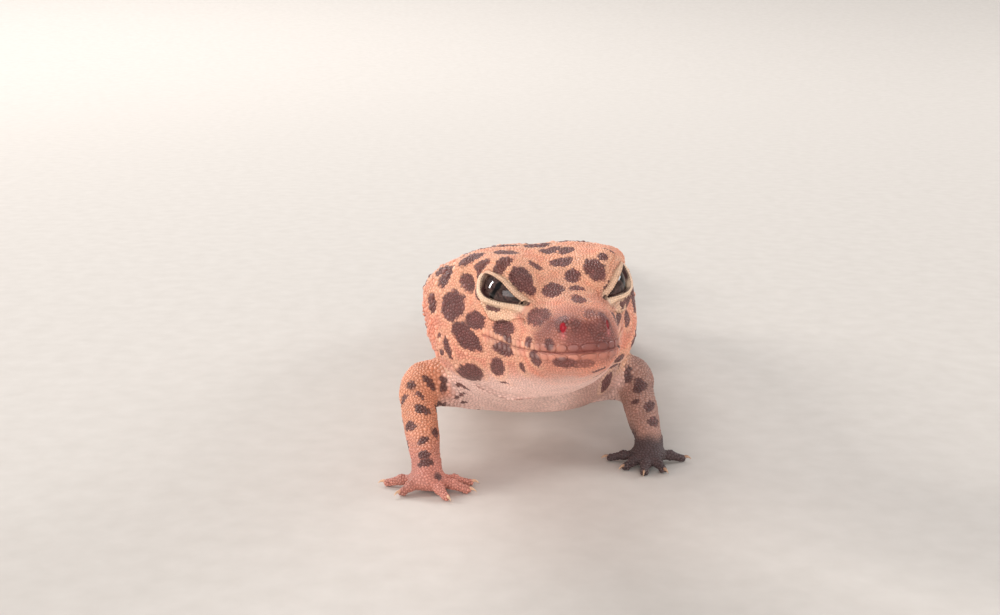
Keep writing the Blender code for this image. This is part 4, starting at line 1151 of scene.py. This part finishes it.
def unwrap(p, n, q, which, along):
    """A place on an unwrap of the skin: along the spine and round it, with the limbs and feet laid beside."""
    y = p[:, 1]
    cx, cz, *_ = BODY(y)
    head = to_head(p)
    blend = 1 - step(y, -22, -12)
    axis_head = from_head(np.stack([np.zeros(len(p)), head[:, 1], np.full(len(p), 1.2)], 1))
    ox, oz = cx + (axis_head[:, 0] - cx) * blend, cz + (axis_head[:, 2] - cz) * blend
    turn = np.arctan2(p[:, 0] - ox, p[:, 2] - oz) / (2 * np.pi) + 0.5
    u, v = 0.01 + 0.70 * turn, 0.01 + 0.98 * (y + 46.5) / 199
    for i, spec in enumerate(LIMBS.values()):
        mine = which == i
        s = p[mine]
        palm = np.array(spec["palm"])
        foot = along[mine] >= 2
        a, b, c, d = (np.array(spec[k]) for k in ("top", "mid", "fore", "end"))
        low = along[mine] >= 1
        centre = np.where(low[:, None], c + np.clip(along[mine] - 1, 0, 1)[:, None] * (d - c), a + np.clip(along[mine], 0, 1)[:, None] * (b - a))
        axis = np.where(low[:, None], unit(d - c), unit(b - a))
        side = units(np.cross(axis, (0.3, 0.2, 1.0)))
        rise = np.cross(side, axis)
        turn = np.arctan2(((s - centre) * side).sum(1), ((s - centre) * rise).sum(1)) / (2 * np.pi) + 0.5
        uu = 0.73 + 0.12 * turn
        vv = 0.01 + 0.245 * i + 0.225 * np.clip(along[mine] / 2, 0, 1)
        flat = np.clip((s - palm)[:, :2] / 12, -1, 1) * 0.055
        above = n[mine][:, 2] > 0
        uu = np.where(foot, 0.92 + flat[:, 0], uu)
        vv = np.where(foot, 0.065 + 0.245 * i + np.where(above, 0.0, 0.12) + flat[:, 1], vv)
        u[mine], v[mine] = uu, vv
    return np.stack([u, v], 1)


def build_scales(v, f, markings):
    random = np.random.default_rng(11)
    middle = v[f].mean(1)
    flat_n = units(np.cross(v[f[:, 1]] - v[f[:, 0]], v[f[:, 2]] - v[f[:, 0]]))
    size = spacing_at(middle, flat_n)[0]
    weight = np.where(size > 0, 1 / np.maximum(size, 0.2) ** 2, 0)
    area = np.linalg.norm(np.cross(v[f[:, 1]] - v[f[:, 0]], v[f[:, 2]] - v[f[:, 0]]), axis=1) / 2
    wanted = int((area * weight).sum() / 0.866)
    tick(f"room for {wanted} scales")

    # cones first: conical tubercles in loose rows over the back, neck, crown, tail and limbs
    cone_at = scatter(v, f, (size > 0).astype(float), 30000, random)
    cone_at = settle(cone_at, 1)
    n = units(slope(cone_at))
    s, q, which, along, level = spacing_at(cone_at, n)
    room = np.where(cone_at[:, 1] > 76, 2.5, 2.15)
    room = np.where(which >= 0, 2.0, room)
    on_head = (q[:, 1] < 31) & (which < 0)
    room = np.where(on_head, 1.50, room)
    ok = (s > 0) & np.where(on_head, (q[:, 1] > 16.0) & (q[:, 2] > -4.0), np.where(which >= 0, (n[:, 2] > -0.3) & (along < 1.7), level > -0.15))
    ok &= cone_at[:, 1] < 143
    cone_at, n, room, q, which, along = (x[ok] for x in (cone_at, n, room, q, which, along))
    kept = spread(cone_at, room * (0.9 + 0.2 * random.random(len(room))), range(len(cone_at)))
    cone_at, cone_n, cone_room, cone_q, cone_which, cone_along = (x[kept] for x in (cone_at, n, room, q, which, along))
    cone_r = np.where((cone_q[:, 1] < 31) & (cone_which < 0), 0.34 + 0.08 * step(cone_q[:, 1], 17, 24), np.where(cone_which >= 0, np.where(cone_along < 1, 0.34, 0.28), 0.54)) * random.uniform(0.85, 1.15, len(cone_at))
    cone_h = cone_r * random.uniform(0.60, 0.85, len(cone_at)) * np.where((cone_q[:, 1] < 31) & (cone_which < 0), 0.60 + 0.28 * step(cone_q[:, 1], 17, 24), np.where(cone_which >= 0, 0.65, 1.0))
    tick(f"{len(cone_at)} tubercles")

    # fixed shields and beads
    fixed_at, fixed_t, fixed_a, fixed_b, fixed_h, fixed_kind = [], [], [], [], [], []
    for q0, long, tall in lip_shields():
        fixed_at.append(from_head(q0))
        fixed_t.append(AXES @ np.array([0, 1.0, 0]))
        fixed_a.append(long * 0.97)
        fixed_b.append(tall)
        fixed_h.append(0.06)
        fixed_kind.append(0)
    for q0, long, tall, ahead in lid_beads():
        fixed_at.append(from_head(q0))
        fixed_t.append(AXES @ ahead)
        fixed_a.append(long)
        fixed_b.append(tall)
        fixed_h.append(0.06)
        fixed_kind.append(1)
    fixed_at = settle(np.array(fixed_at), 3, 0.4)
    fixed_n = units(slope(fixed_at))
    fixed_kind, fixed_a, fixed_b, fixed_h = (np.array(x) for x in (fixed_kind, fixed_a, fixed_b, fixed_h))
    fixed_t = np.array(fixed_t)
    lip = fixed_kind == 0
    axis = AXES @ np.array([0, 0, 1.0])
    fixed_t[lip] = np.cross(axis, fixed_n[lip])              # along the lip
    fixed_t = tangent(fixed_n, fixed_t)

    # granules fill what is left
    places = scatter(v, f, weight, wanted * (7), random)
    near = kdtree.KDTree(len(cone_at) + len(fixed_at))
    for i, p in enumerate(np.concatenate([cone_at, fixed_at]).tolist()):
        near.insert(p, i)
    near.balance()
    solid = np.concatenate([cone_r * 1.02, np.minimum(fixed_a, fixed_b) * 0.9])
    rows = places.tolist()
    clear = np.fromiter(((lambda hit: hit[2] > solid[hit[1]] + 0.14)(near.find(p)) for p in rows), bool, len(rows))
    places = places[clear]
    tick(f"{len(places)} candidates")
    lump = noise(places, 1.4, 41)
    size = spacing_at(places, np.tile([0, 0, 1.0], (len(places), 1)))[0]
    ok = size > 0
    places, size, lump = places[ok], size[ok], lump[ok]
    kept = spread(places, size * 0.83 * (1 + 0.10 * lump), range(len(places)))
    roots, size = places[kept], size[kept]
    tick(f"{len(roots)} granules")
    others = np.concatenate([cone_at, fixed_at])
    other_w = np.concatenate([cone_r, np.minimum(fixed_a, fixed_b) * 0.9])
    k_near = 9
    for turn in range(3):
        everything = np.concatenate([roots, others])
        ew = np.concatenate([size / 2, other_w])
        tree = kdtree.KDTree(len(everything))
        for i, p in enumerate(everything.tolist()):
            tree.insert(p, i)
        tree.balance()
        near_i = np.array([[h[1] for h in tree.find_n(p, k_near + 1)] for p in roots.tolist()])[:, 1:]
        if turn == (2):
            break
        d = roots[:, None, :] - everything[near_i]
        length = np.maximum(np.linalg.norm(d, axis=2), 1e-6)
        want = (size / 2)[:, None] + ew[near_i]
        push = np.maximum(1 - length / (want * 1.12), 0)
        move = (d / length[..., None] * (push * want * 0.5)[..., None]).sum(1)
        length = np.linalg.norm(move, axis=1)
        move *= np.minimum(1, 0.3 * size / np.maximum(length, 1e-9))[:, None]
        roots = settle(roots + move, 1)
    n = units(slope(roots))
    s2, q, which, along, level = spacing_at(roots, n)
    ok = s2 > 0
    tick("granules settled")
    t1 = lie_of(roots, n, q, which)
    reach = polygon(roots, n, t1, everything[near_i], size / 2, ew[near_i], SIDES) * 0.985
    reach = np.minimum(reach, size[:, None] * 0.78)
    roots, n, t1, reach, size, q, which, along, level = (x[ok] for x in (roots, n, t1, reach, size, q, which, along, level))
    belly = (which < 0) & (level < -0.35) & (q[:, 1] > 31)
    throat = (q[:, 1] < 31) & (q[:, 2] < -2.4) & (which < 0)
    height = size * np.where(belly, 0.11, np.where(throat, 0.09, 0.26)) * random.uniform(0.8, 1.2, len(roots))
    height[(which >= 0) & (along >= 2)] *= 0.8
    height[(which < 0) & (q[:, 1] < 31)] *= 0.5 + 0.5 * step(q[(which < 0) & (q[:, 1] < 31), 1], 2.0, 9.0)
    tilt = np.where(belly | throat, 0.30, 0.16)
    parts = []
    for mask, lean in ((belly | throat, 0.3), (~(belly | throat), 0.25)):
        if mask.any():
            pts, fs, pl, ro = domes(roots[mask], n[mask], t1[mask], reach[mask], height[mask], [(1.0, -1), (0.70, 0.74)], lean, 0.28 if lean == 0.3 else 0.16)
            parts.append((pts, fs, pl, ro, roots[mask], n[mask], np.full(mask.sum(), 0), height[mask], which[mask]))
    # tubercles
    t1 = lie_of(cone_at, cone_n, cone_q, cone_which)
    a = 2 * np.pi * (np.arange(CONE_SIDES) + 0.5) / CONE_SIDES
    wobble = 1 + 0.07 * np.sin(3 * a[None] + 6.28 * random.random((len(cone_at), 1)))
    reach = cone_r[:, None] * wobble
    pts, fs, pl, ro = domes(cone_at, cone_n, t1, reach, cone_h, [(1.0, -1), (0.84, 0.42), (0.46, 0.84)], 0.30, 0.05)
    parts.append((pts, fs, pl, ro, cone_at, cone_n, np.full(len(cone_at), 1), cone_h, cone_which))
    # shields and beads: rounded oblongs
    a = 2 * np.pi * (np.arange(14) + 0.5) / 14
    power = 3.2
    reach = ((np.abs(np.cos(a))[None] / fixed_a[:, None]) ** power + (np.abs(np.sin(a))[None] / fixed_b[:, None]) ** power) ** (-1 / power)
    pts, fs, pl, ro = domes(fixed_at, fixed_n, fixed_t, reach, fixed_h, [(1.0, -1), (0.90, 0.50), (0.62, 0.90)], 0.0, 0.0)
    parts.append((pts, fs, pl, ro, fixed_at, fixed_n, np.where(fixed_kind == 0, 2, 3), fixed_h, np.full(len(fixed_at), -1)))

    # share the scales out over pieces that each span the whole animal
    total = sum(len(p[0]) * len(p[1]) for p in parts)
    pieces = max(1, math.ceil(total / 185000))
    tick(f"{total} triangles of scales in {pieces} pieces")
    gathered = [dict(p=[], f=[], c=[], uv=[], tone=[], n=0) for _ in range(pieces)]
    for row, (pts, fs, pl, ro, root, normal, kind, height, limb_i) in enumerate(parts):
        colour, dark = markings(root, normal, np.zeros(len(root)))
        q, which, along, _ = regions(root)
        spot = unwrap(root, normal, q, which, along)
        tone = random.random(len(root))
        shade = 1 + 0.20 * (tone - 0.5)
        # in dark markings each scale's tone varies more, and a few scales are made much lighter: painted glints
        shade = shade + np.where(dark > 0.5, 0.30 * (tone - 0.5) + 0.5 * np.maximum(tone - 0.90, 0) * 6, 0)
        shade = np.where(kind == 1, shade * np.where(dark > 0.5, 1.0, 1.12), shade)
        if (kind == 2).any():                                  # shields: a pale middle on a dark shield, as on the lips
            colour = np.where((kind == 2)[:, None] & (dark > 0.4)[:, None], colour * 1.1, colour)
        # each dome is darker at its foot and lighter towards its top: painted shade and painted light on the relief
        bright = (0.90 + 0.13 * ro) if row == 0 else (0.80 + 0.28 * ro) if kind[0] < 2 else (0.88 + 0.16 * ro)
        if (kind == 2).any():
            middle_pale = np.where((kind == 2) & (dark > 0.4), 1.0, 0.0)
        else:
            middle_pale = np.zeros(len(root))
        if (kind == 2).any():                                  # a marking may cross a shield
            flat_points = pts.reshape(-1, 3)
            colour = markings(flat_points, np.repeat(normal, pts.shape[1], axis=0), np.zeros(len(flat_points)))[0].reshape(pts.shape)
        else:
            colour = colour[:, None, :]
        c = colour * shade[:, None, None] * bright[None, :, None]
        c = c + (srgb(150, 120, 116)[None, None] - c) * (middle_pale[:, None] * step(ro, 0.55, 1.0)[None])[..., None] * 0.75
        turn = random.permutation(len(root)) % pieces
        for k in range(pieces):
            mine = np.nonzero(turn == k)[0]
            if not len(mine):
                continue
            g = gathered[k]
            per = pts.shape[1]
            g["f"].append((fs[None] + (np.arange(len(mine)) * per)[:, None, None] + g["n"]).reshape(-1, 3))
            g["p"].append(pts[mine].reshape(-1, 3))
            g["c"].append(c[mine].reshape(-1, 3))
            g["uv"].append((spot[mine][:, None, :] + pl[mine] * 0.0015).reshape(-1, 2))
            g["tone"].append(np.repeat(tone[mine], per))
            g["n"] += len(mine) * per
    objects = []
    for k, g in enumerate(gathered):
        points, faces = np.concatenate(g["p"]), np.concatenate(g["f"])
        obj = mesh_object(f"scales_{k + 1}", points, faces)
        paint(obj, "marking", np.clip(np.concatenate(g["c"]), 0, 1))
        number(obj, "tone", np.concatenate(g["tone"]))
        uv = np.clip(np.concatenate(g["uv"]), 0.001, 0.999).astype(np.float32)
        layer = obj.data.uv_layers.new(name="OFBake")
        corner = np.empty(len(obj.data.loops), np.int32)
        obj.data.loops.foreach_get("vertex_index", corner)
        layer.data.foreach_set("uv", uv[corner].ravel())
        objects.append(obj)
    return objects


# ------------------------------------------------------------------ materials
def shader(name):
    material = bpy.data.materials.new(name)
    material.use_nodes = True
    tree = material.node_tree
    return material, tree, tree.nodes["Principled BSDF"]


def wire(tree, a, b):
    tree.links.new(a, b)


def skin_material(name, rough_low, rough_high, grain, bump, gloss):
    """Colour from the markings with fine mottling, uneven gloss and a fine grain in the surface."""
    material, tree, out = shader(name)
    place = tree.nodes.new("ShaderNodeTexCoord")
    mark = tree.nodes.new("ShaderNodeAttribute")
    mark.attribute_name = "marking"
    speck = tree.nodes.new("ShaderNodeTexNoise")
    speck.inputs["Scale"].default_value = grain
    speck.inputs["Detail"].default_value = 3
    wire(tree, place.outputs["Object"], speck.inputs["Vector"])
    bright = tree.nodes.new("ShaderNodeMapRange")
    bright.inputs["To Min"].default_value = 0.80
    bright.inputs["To Max"].default_value = 1.20
    wire(tree, speck.outputs["Fac"], bright.inputs["Value"])
    mixed = tree.nodes.new("ShaderNodeVectorMath")
    mixed.operation = "SCALE"
    wire(tree, mark.outputs["Color"], mixed.inputs[0])
    wire(tree, bright.outputs["Result"], mixed.inputs["Scale"])
    wire(tree, mixed.outputs["Vector"], out.inputs["Base Color"])
    patch = tree.nodes.new("ShaderNodeTexNoise")
    patch.inputs["Scale"].default_value = 900
    patch.inputs["Detail"].default_value = 4
    wire(tree, place.outputs["Object"], patch.inputs["Vector"])
    rough = tree.nodes.new("ShaderNodeMapRange")
    rough.inputs["From Min"].default_value = 0.3
    rough.inputs["From Max"].default_value = 0.7
    rough.inputs["To Min"].default_value = rough_low
    rough.inputs["To Max"].default_value = rough_high
    wire(tree, patch.outputs["Fac"], rough.inputs["Value"])
    wire(tree, rough.outputs["Result"], out.inputs["Roughness"])
    cells = tree.nodes.new("ShaderNodeTexVoronoi")
    cells.inputs["Scale"].default_value = grain * 1.3
    wire(tree, place.outputs["Object"], cells.inputs["Vector"])
    relief = tree.nodes.new("ShaderNodeBump")
    relief.inputs["Strength"].default_value = bump
    relief.inputs["Distance"].default_value = 0.00003
    wire(tree, cells.outputs["Distance"], relief.inputs["Height"])
    wire(tree, relief.outputs["Normal"], out.inputs["Normal"])
    out.inputs["Specular IOR Level"].default_value = gloss
    return material


def eye_material():
    """Near-black iris with fine veins, an upright slit, and a wet surface."""
    material, tree, out = shader("wet_eye")
    mark = tree.nodes.new("ShaderNodeAttribute")
    mark.attribute_name = "marking"
    place = tree.nodes.new("ShaderNodeTexCoord")
    vein = tree.nodes.new("ShaderNodeTexNoise")
    vein.inputs["Scale"].default_value = 2600
    vein.inputs["Detail"].default_value = 5
    vein.inputs["Distortion"].default_value = 1.2
    wire(tree, place.outputs["Object"], vein.inputs["Vector"])
    bright = tree.nodes.new("ShaderNodeMapRange")
    bright.inputs["From Min"].default_value = 0.35
    bright.inputs["From Max"].default_value = 0.65
    bright.inputs["To Min"].default_value = 0.35
    bright.inputs["To Max"].default_value = 1.8
    wire(tree, vein.outputs["Fac"], bright.inputs["Value"])
    mixed = tree.nodes.new("ShaderNodeVectorMath")
    mixed.operation = "SCALE"
    wire(tree, mark.outputs["Color"], mixed.inputs[0])
    wire(tree, bright.outputs["Result"], mixed.inputs["Scale"])
    wire(tree, mixed.outputs["Vector"], out.inputs["Base Color"])
    film = tree.nodes.new("ShaderNodeTexNoise")
    film.inputs["Scale"].default_value = 700
    wire(tree, place.outputs["Object"], film.inputs["Vector"])
    rough = tree.nodes.new("ShaderNodeMapRange")
    rough.inputs["To Min"].default_value = 0.03
    rough.inputs["To Max"].default_value = 0.09
    wire(tree, film.outputs["Fac"], rough.inputs["Value"])
    wire(tree, rough.outputs["Result"], out.inputs["Roughness"])
    out.inputs["Specular IOR Level"].default_value = 0.38
    return material


def claw_material():
    material, tree, out = shader("horn")
    mark = tree.nodes.new("ShaderNodeAttribute")
    mark.attribute_name = "marking"
    place = tree.nodes.new("ShaderNodeTexCoord")
    line = tree.nodes.new("ShaderNodeTexNoise")
    line.inputs["Scale"].default_value = 5200
    line.inputs["Detail"].default_value = 3
    wire(tree, place.outputs["Object"], line.inputs["Vector"])
    bright = tree.nodes.new("ShaderNodeMapRange")
    bright.inputs["To Min"].default_value = 0.75
    bright.inputs["To Max"].default_value = 1.25
    wire(tree, line.outputs["Fac"], bright.inputs["Value"])
    mixed = tree.nodes.new("ShaderNodeVectorMath")
    mixed.operation = "SCALE"
    wire(tree, mark.outputs["Color"], mixed.inputs[0])
    wire(tree, bright.outputs["Result"], mixed.inputs["Scale"])
    wire(tree, mixed.outputs["Vector"], out.inputs["Base Color"])
    rough = tree.nodes.new("ShaderNodeMapRange")
    rough.inputs["To Min"].default_value = 0.25
    rough.inputs["To Max"].default_value = 0.45
    wire(tree, line.outputs["Fac"], rough.inputs["Value"])
    wire(tree, rough.outputs["Result"], out.inputs["Roughness"])
    relief = tree.nodes.new("ShaderNodeBump")
    relief.inputs["Strength"].default_value = 0.3
    relief.inputs["Distance"].default_value = 0.00002
    wire(tree, line.outputs["Fac"], relief.inputs["Height"])
    wire(tree, relief.outputs["Normal"], out.inputs["Normal"])
    return material


# ------------------------------------------------------------------ eyes and claws
def build_eye(side):
    flip = np.array([side, 1, 1])
    gaze, along, up = GAZE * flip, ALONG * flip, UP * flip
    rings, sides = 56, 72
    th = np.concatenate([np.linspace(0, 0.75 * math.pi, rings)[1:], [0.9 * math.pi]])
    a = 2 * np.pi * np.arange(sides) / sides
    s, c = np.sin(th)[:, None], np.cos(th)[:, None]
    r = EYE_R + 0.12 * np.exp(-((th / 0.75) ** 2))[:, None]
    x, y = s * np.cos(a), s * np.sin(a)
    v = (gaze * c[..., None] + along * x[..., None] + up * y[..., None]) * r[..., None]
    points = np.concatenate([(gaze * (EYE_R + 0.12))[None], v.reshape(-1, 3), (-gaze * EYE_R)[None]])
    faces = [(0, 1 + k, 1 + (k + 1) % sides) for k in range(sides)]
    for i in range(len(th) - 1):
        for k in range(sides):
            p, p2 = 1 + i * sides + k, 1 + i * sides + (k + 1) % sides
            faces += [(p, p + sides, p2 + sides), (p, p2 + sides, p2)]
    end = 1 + (len(th) - 1) * sides
    faces += [(end + k, len(points) - 1, end + (k + 1) % sides) for k in range(sides)]
    faces = np.array(faces)
    if side > 0:
        faces = faces[:, ::-1]
    local = points / np.linalg.norm(points, axis=1)[:, None]
    ga, al, upw = local @ gaze, local @ along, local @ up
    world = from_head(points + EYE_AT * flip)
    centre = from_head((EYE_AT * flip)[None])[0]
    obj = mesh_object("eye_left" if side > 0 else "eye_right", world, faces)
    # the slit stands upright across the opening
    across = np.arcsin(np.clip(al + 0.10, -1, 1)) * 3.8
    tall = np.arcsin(np.clip(upw, -1, 1)) * 3.8
    half = 0.26 * np.sqrt(np.maximum(1 - (tall / 2.3) ** 2, 0)) * (1 + 0.12 * np.cos(tall * 5.0))
    slit = 1 - step(np.abs(across) - half, -0.05, 0.08)
    slit = slit * (ga > 0)
    angle = np.arccos(np.clip(ga, -1, 1))
    spoke = noise(np.stack([np.arctan2(upw, al + 0.1) * 9, angle * 3, 0 * angle], 1), 1.0, 3)
    iris = srgb(60, 42, 39)[None] * (1 + 0.5 * spoke)[:, None]
    iris = iris + (srgb(26, 18, 18) - iris) * step(angle, 0.7, 1.15)[:, None]
    # a paler grey band beside the slit: painted reflection
    iris = iris + (srgb(96, 82, 74) - iris) * (bell(np.abs(across) - half - 0.14, 0.10) * (ga > 0) * 0.30)[:, None]
    colour = iris + (srgb(5, 4, 5) - iris) * slit[:, None]
    paint(obj, "marking", np.clip(colour, 0, 1))
    return obj, centre


def build_claws(word, spec):
    points, faces, colour = [], [], []
    # the left front claws are darker: partly their own tone, partly painted shade as on that foot
    root_tone, tip_tone = (srgb(150, 112, 92), srgb(196, 160, 130)) if word == "front_left" else (srgb(206, 152, 124), srgb(216, 184, 150))
    sides, rings = 12, 9
    for root, knuckle, end, ahead in spec["toes"]:
        side = np.array([-ahead[1], ahead[0], 0.0])
        base = len(points)
        path, size = [], []
        for i in range(rings):
            t = i / (rings - 1)
            along_by = 0.20 + 1.10 * t
            rise = 0.12 + 0.18 * math.sin(math.pi * min(t * 0.95, 1)) - 0.30 * t * t
            path.append(end + ahead * along_by + np.array([0, 0, rise]))
            size.append(0.27 * (1 - t) ** 0.8 + 0.03)
        for i in range(rings):
            d = unit(path[min(i + 1, rings - 1)] - path[max(i - 1, 0)])
            up = unit(np.cross(side, d))
            up = up if up[2] > 0 else -up
            for k in range(sides):
                a = 2 * math.pi * k / sides
                points.append(path[i] + side * size[i] * 0.72 * math.cos(a) + up * size[i] * math.sin(a))
                t = i / (rings - 1)
                colour.append(root_tone * (1 - t) + tip_tone * t)
        points.append(path[0])
        colour.append(colour[base])
        points.append(path[-1] + unit(path[-1] - path[-2]) * 0.05)
        colour.append(colour[-2])
        first, last = len(points) - 2, len(points) - 1
        for i in range(rings - 1):
            for k in range(sides):
                p, p2 = base + i * sides + k, base + i * sides + (k + 1) % sides
                faces += [(p, p2, p2 + sides), (p, p2 + sides, p + sides)]
        end_ring = base + (rings - 1) * sides
        faces += [(base + (k + 1) % sides, base + k, first) for k in range(sides)]
        faces += [(end_ring + k, end_ring + (k + 1) % sides, last) for k in range(sides)]
    obj = mesh_object(f"claws_{word}", np.array(points), np.array(faces))
    paint(obj, "marking", np.array(colour))
    import bmesh
    bm = bmesh.new()
    bm.from_mesh(obj.data)
    bmesh.ops.recalc_face_normals(bm, faces=bm.faces)
    bm.to_mesh(obj.data)
    bm.free()
    return obj


# ------------------------------------------------------------------ put together
v, f = build_skin()
tick(f"skin {len(f)} triangles")
markings = Markings(v, f)
tick(f"{len(markings.rows)} markings")
skin_obj = mesh_object("skin", v, f)
vn = units(slope(v))
tone, _ = markings(v, vn, np.ones(len(v)))
paint(skin_obj, "marking", np.clip(tone, 0, 1))
skin_obj.data.materials.append(skin_material("gecko_skin", 0.42, 0.62, 9000, 0.35, 0.35))
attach(skin_obj, "root")
flesh = ["head", "lower_jaw", "neck", "trunk_front", "trunk_rear", "tail_base", "tail_middle", "tail_tip"]
for side in ("left", "right"):
    flesh += [f"{side}_{part}" for part in ("ear", "upper_arm", "forearm", "front_foot", "thigh", "shin", "hind_foot")]
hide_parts(*flesh)
tick("skin painted")

scale_look = skin_material("gecko_scales", 0.28, 0.52, 11000, 0.25, 0.55)
for obj in build_scales(v, f, markings):
    obj.data.materials.append(scale_look)
    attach(obj, "root")
tick("scales made")

wet, horn = eye_material(), claw_material()
for side, word in ((1, "left"), (-1, "right")):
    eye, _ = build_eye(side)
    eye.data.materials.append(wet)
    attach(eye, "root")
    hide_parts(f"{word}_eye")
for word, spec in LIMBS.items():
    claws = build_claws(word, spec)
    claws.data.materials.append(horn)
    place, side = word.split("_")
    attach(claws, "root")
    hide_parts(*[f"{side}_{place}_claw_{k}" for k in range(1, 6)])

# ------------------------------------------------------------------ floor, light and camera
ground_line = np.linspace(-3.2, 3.2, 97)
ground = np.stack(np.meshgrid(ground_line, ground_line, indexing="ij"), -1).reshape(-1, 2)
ground = np.concatenate([ground, (0.15 * np.maximum(np.linalg.norm(ground, axis=1) - 0.50, 0) ** 2)[:, None]], 1)
corner = (np.arange(96)[:, None] * 97 + np.arange(96)).ravel()
floor = mesh_object("floor", ground / MM + ORIGIN, np.stack([corner, corner + 97, corner + 98, corner + 1], 1))
paper, tree, out = shader("pale_floor")
place = tree.nodes.new("ShaderNodeTexCoord")
fibre = tree.nodes.new("ShaderNodeTexNoise")
fibre.inputs["Scale"].default_value = 260
fibre.inputs["Detail"].default_value = 6
wire(tree, place.outputs["Object"], fibre.inputs["Vector"])
tint = tree.nodes.new("ShaderNodeValToRGB")
tint.color_ramp.elements[0].position, tint.color_ramp.elements[0].color = 0.3, (0.615, 0.575, 0.53, 1)
tint.color_ramp.elements[1].position, tint.color_ramp.elements[1].color = 0.7, (0.655, 0.615, 0.57, 1)
wire(tree, fibre.outputs["Fac"], tint.inputs["Fac"])
wire(tree, tint.outputs["Color"], out.inputs["Base Color"])
relief = tree.nodes.new("ShaderNodeBump")
relief.inputs["Strength"].default_value = 0.15
relief.inputs["Distance"].default_value = 0.0003
wire(tree, fibre.outputs["Fac"], relief.inputs["Height"])
wire(tree, relief.outputs["Normal"], out.inputs["Normal"])
out.inputs["Roughness"].default_value = 0.85
out.inputs["Specular IOR Level"].default_value = 0.2
floor.data.materials.append(paper)


def area(name, at, to, size, power, colour):
    data = bpy.data.lights.new(name, "AREA")
    data.shape = "RECTANGLE"
    data.size, data.size_y = size
    data.energy = power
    data.color = colour
    obj = bpy.data.objects.new(name, data)
    bpy.context.scene.collection.objects.link(obj)
    from mathutils import Vector
    obj.location = at
    obj.rotation_euler = (Vector(to) - Vector(at)).to_track_quat("-Z", "Y").to_euler()
    return obj


area("key", (-1.14, 0.08, 0.50), (0.0, -0.05, 0.02), (0.14, 0.40), 8.5, (1.0, 0.97, 0.94))
area("rim", (-0.45, 1.00, 0.85), (0.0, -0.05, 0.03), (0.80, 0.40), 10.5, (1.0, 0.98, 0.98))
area("side", (1.10, 0.35, 0.50), (0.0, -0.05, 0.03), (0.50, 0.30), 5.0, (0.97, 0.98, 1.0))
area("fill", (-0.10, -1.30, 0.33), (0.0, -0.05, 0.02), (1.60, 0.46), 11.5, (1.0, 0.97, 0.97))

world = bpy.data.worlds.new("studio")
bpy.context.scene.world = world
world.use_nodes = True
world.node_tree.nodes["Background"].inputs["Color"].default_value = (0.86, 0.86, 0.87, 1)
world.node_tree.nodes["Background"].inputs["Strength"].default_value = 0.58

lens = bpy.data.cameras.new("camera")
lens.sensor_width = 36.0
lens.lens = 50.4
lens.clip_start = 0.005
camera = bpy.data.objects.new("camera", lens)
camera.location = (-0.00525, -0.24393, 0.065)
camera.rotation_euler = (math.radians(77.0), 0, 0)
bpy.context.scene.collection.objects.link(camera)
bpy.context.scene.camera = camera
bpy.context.scene.view_settings.view_transform = "Standard"

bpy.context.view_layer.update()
tick("done")
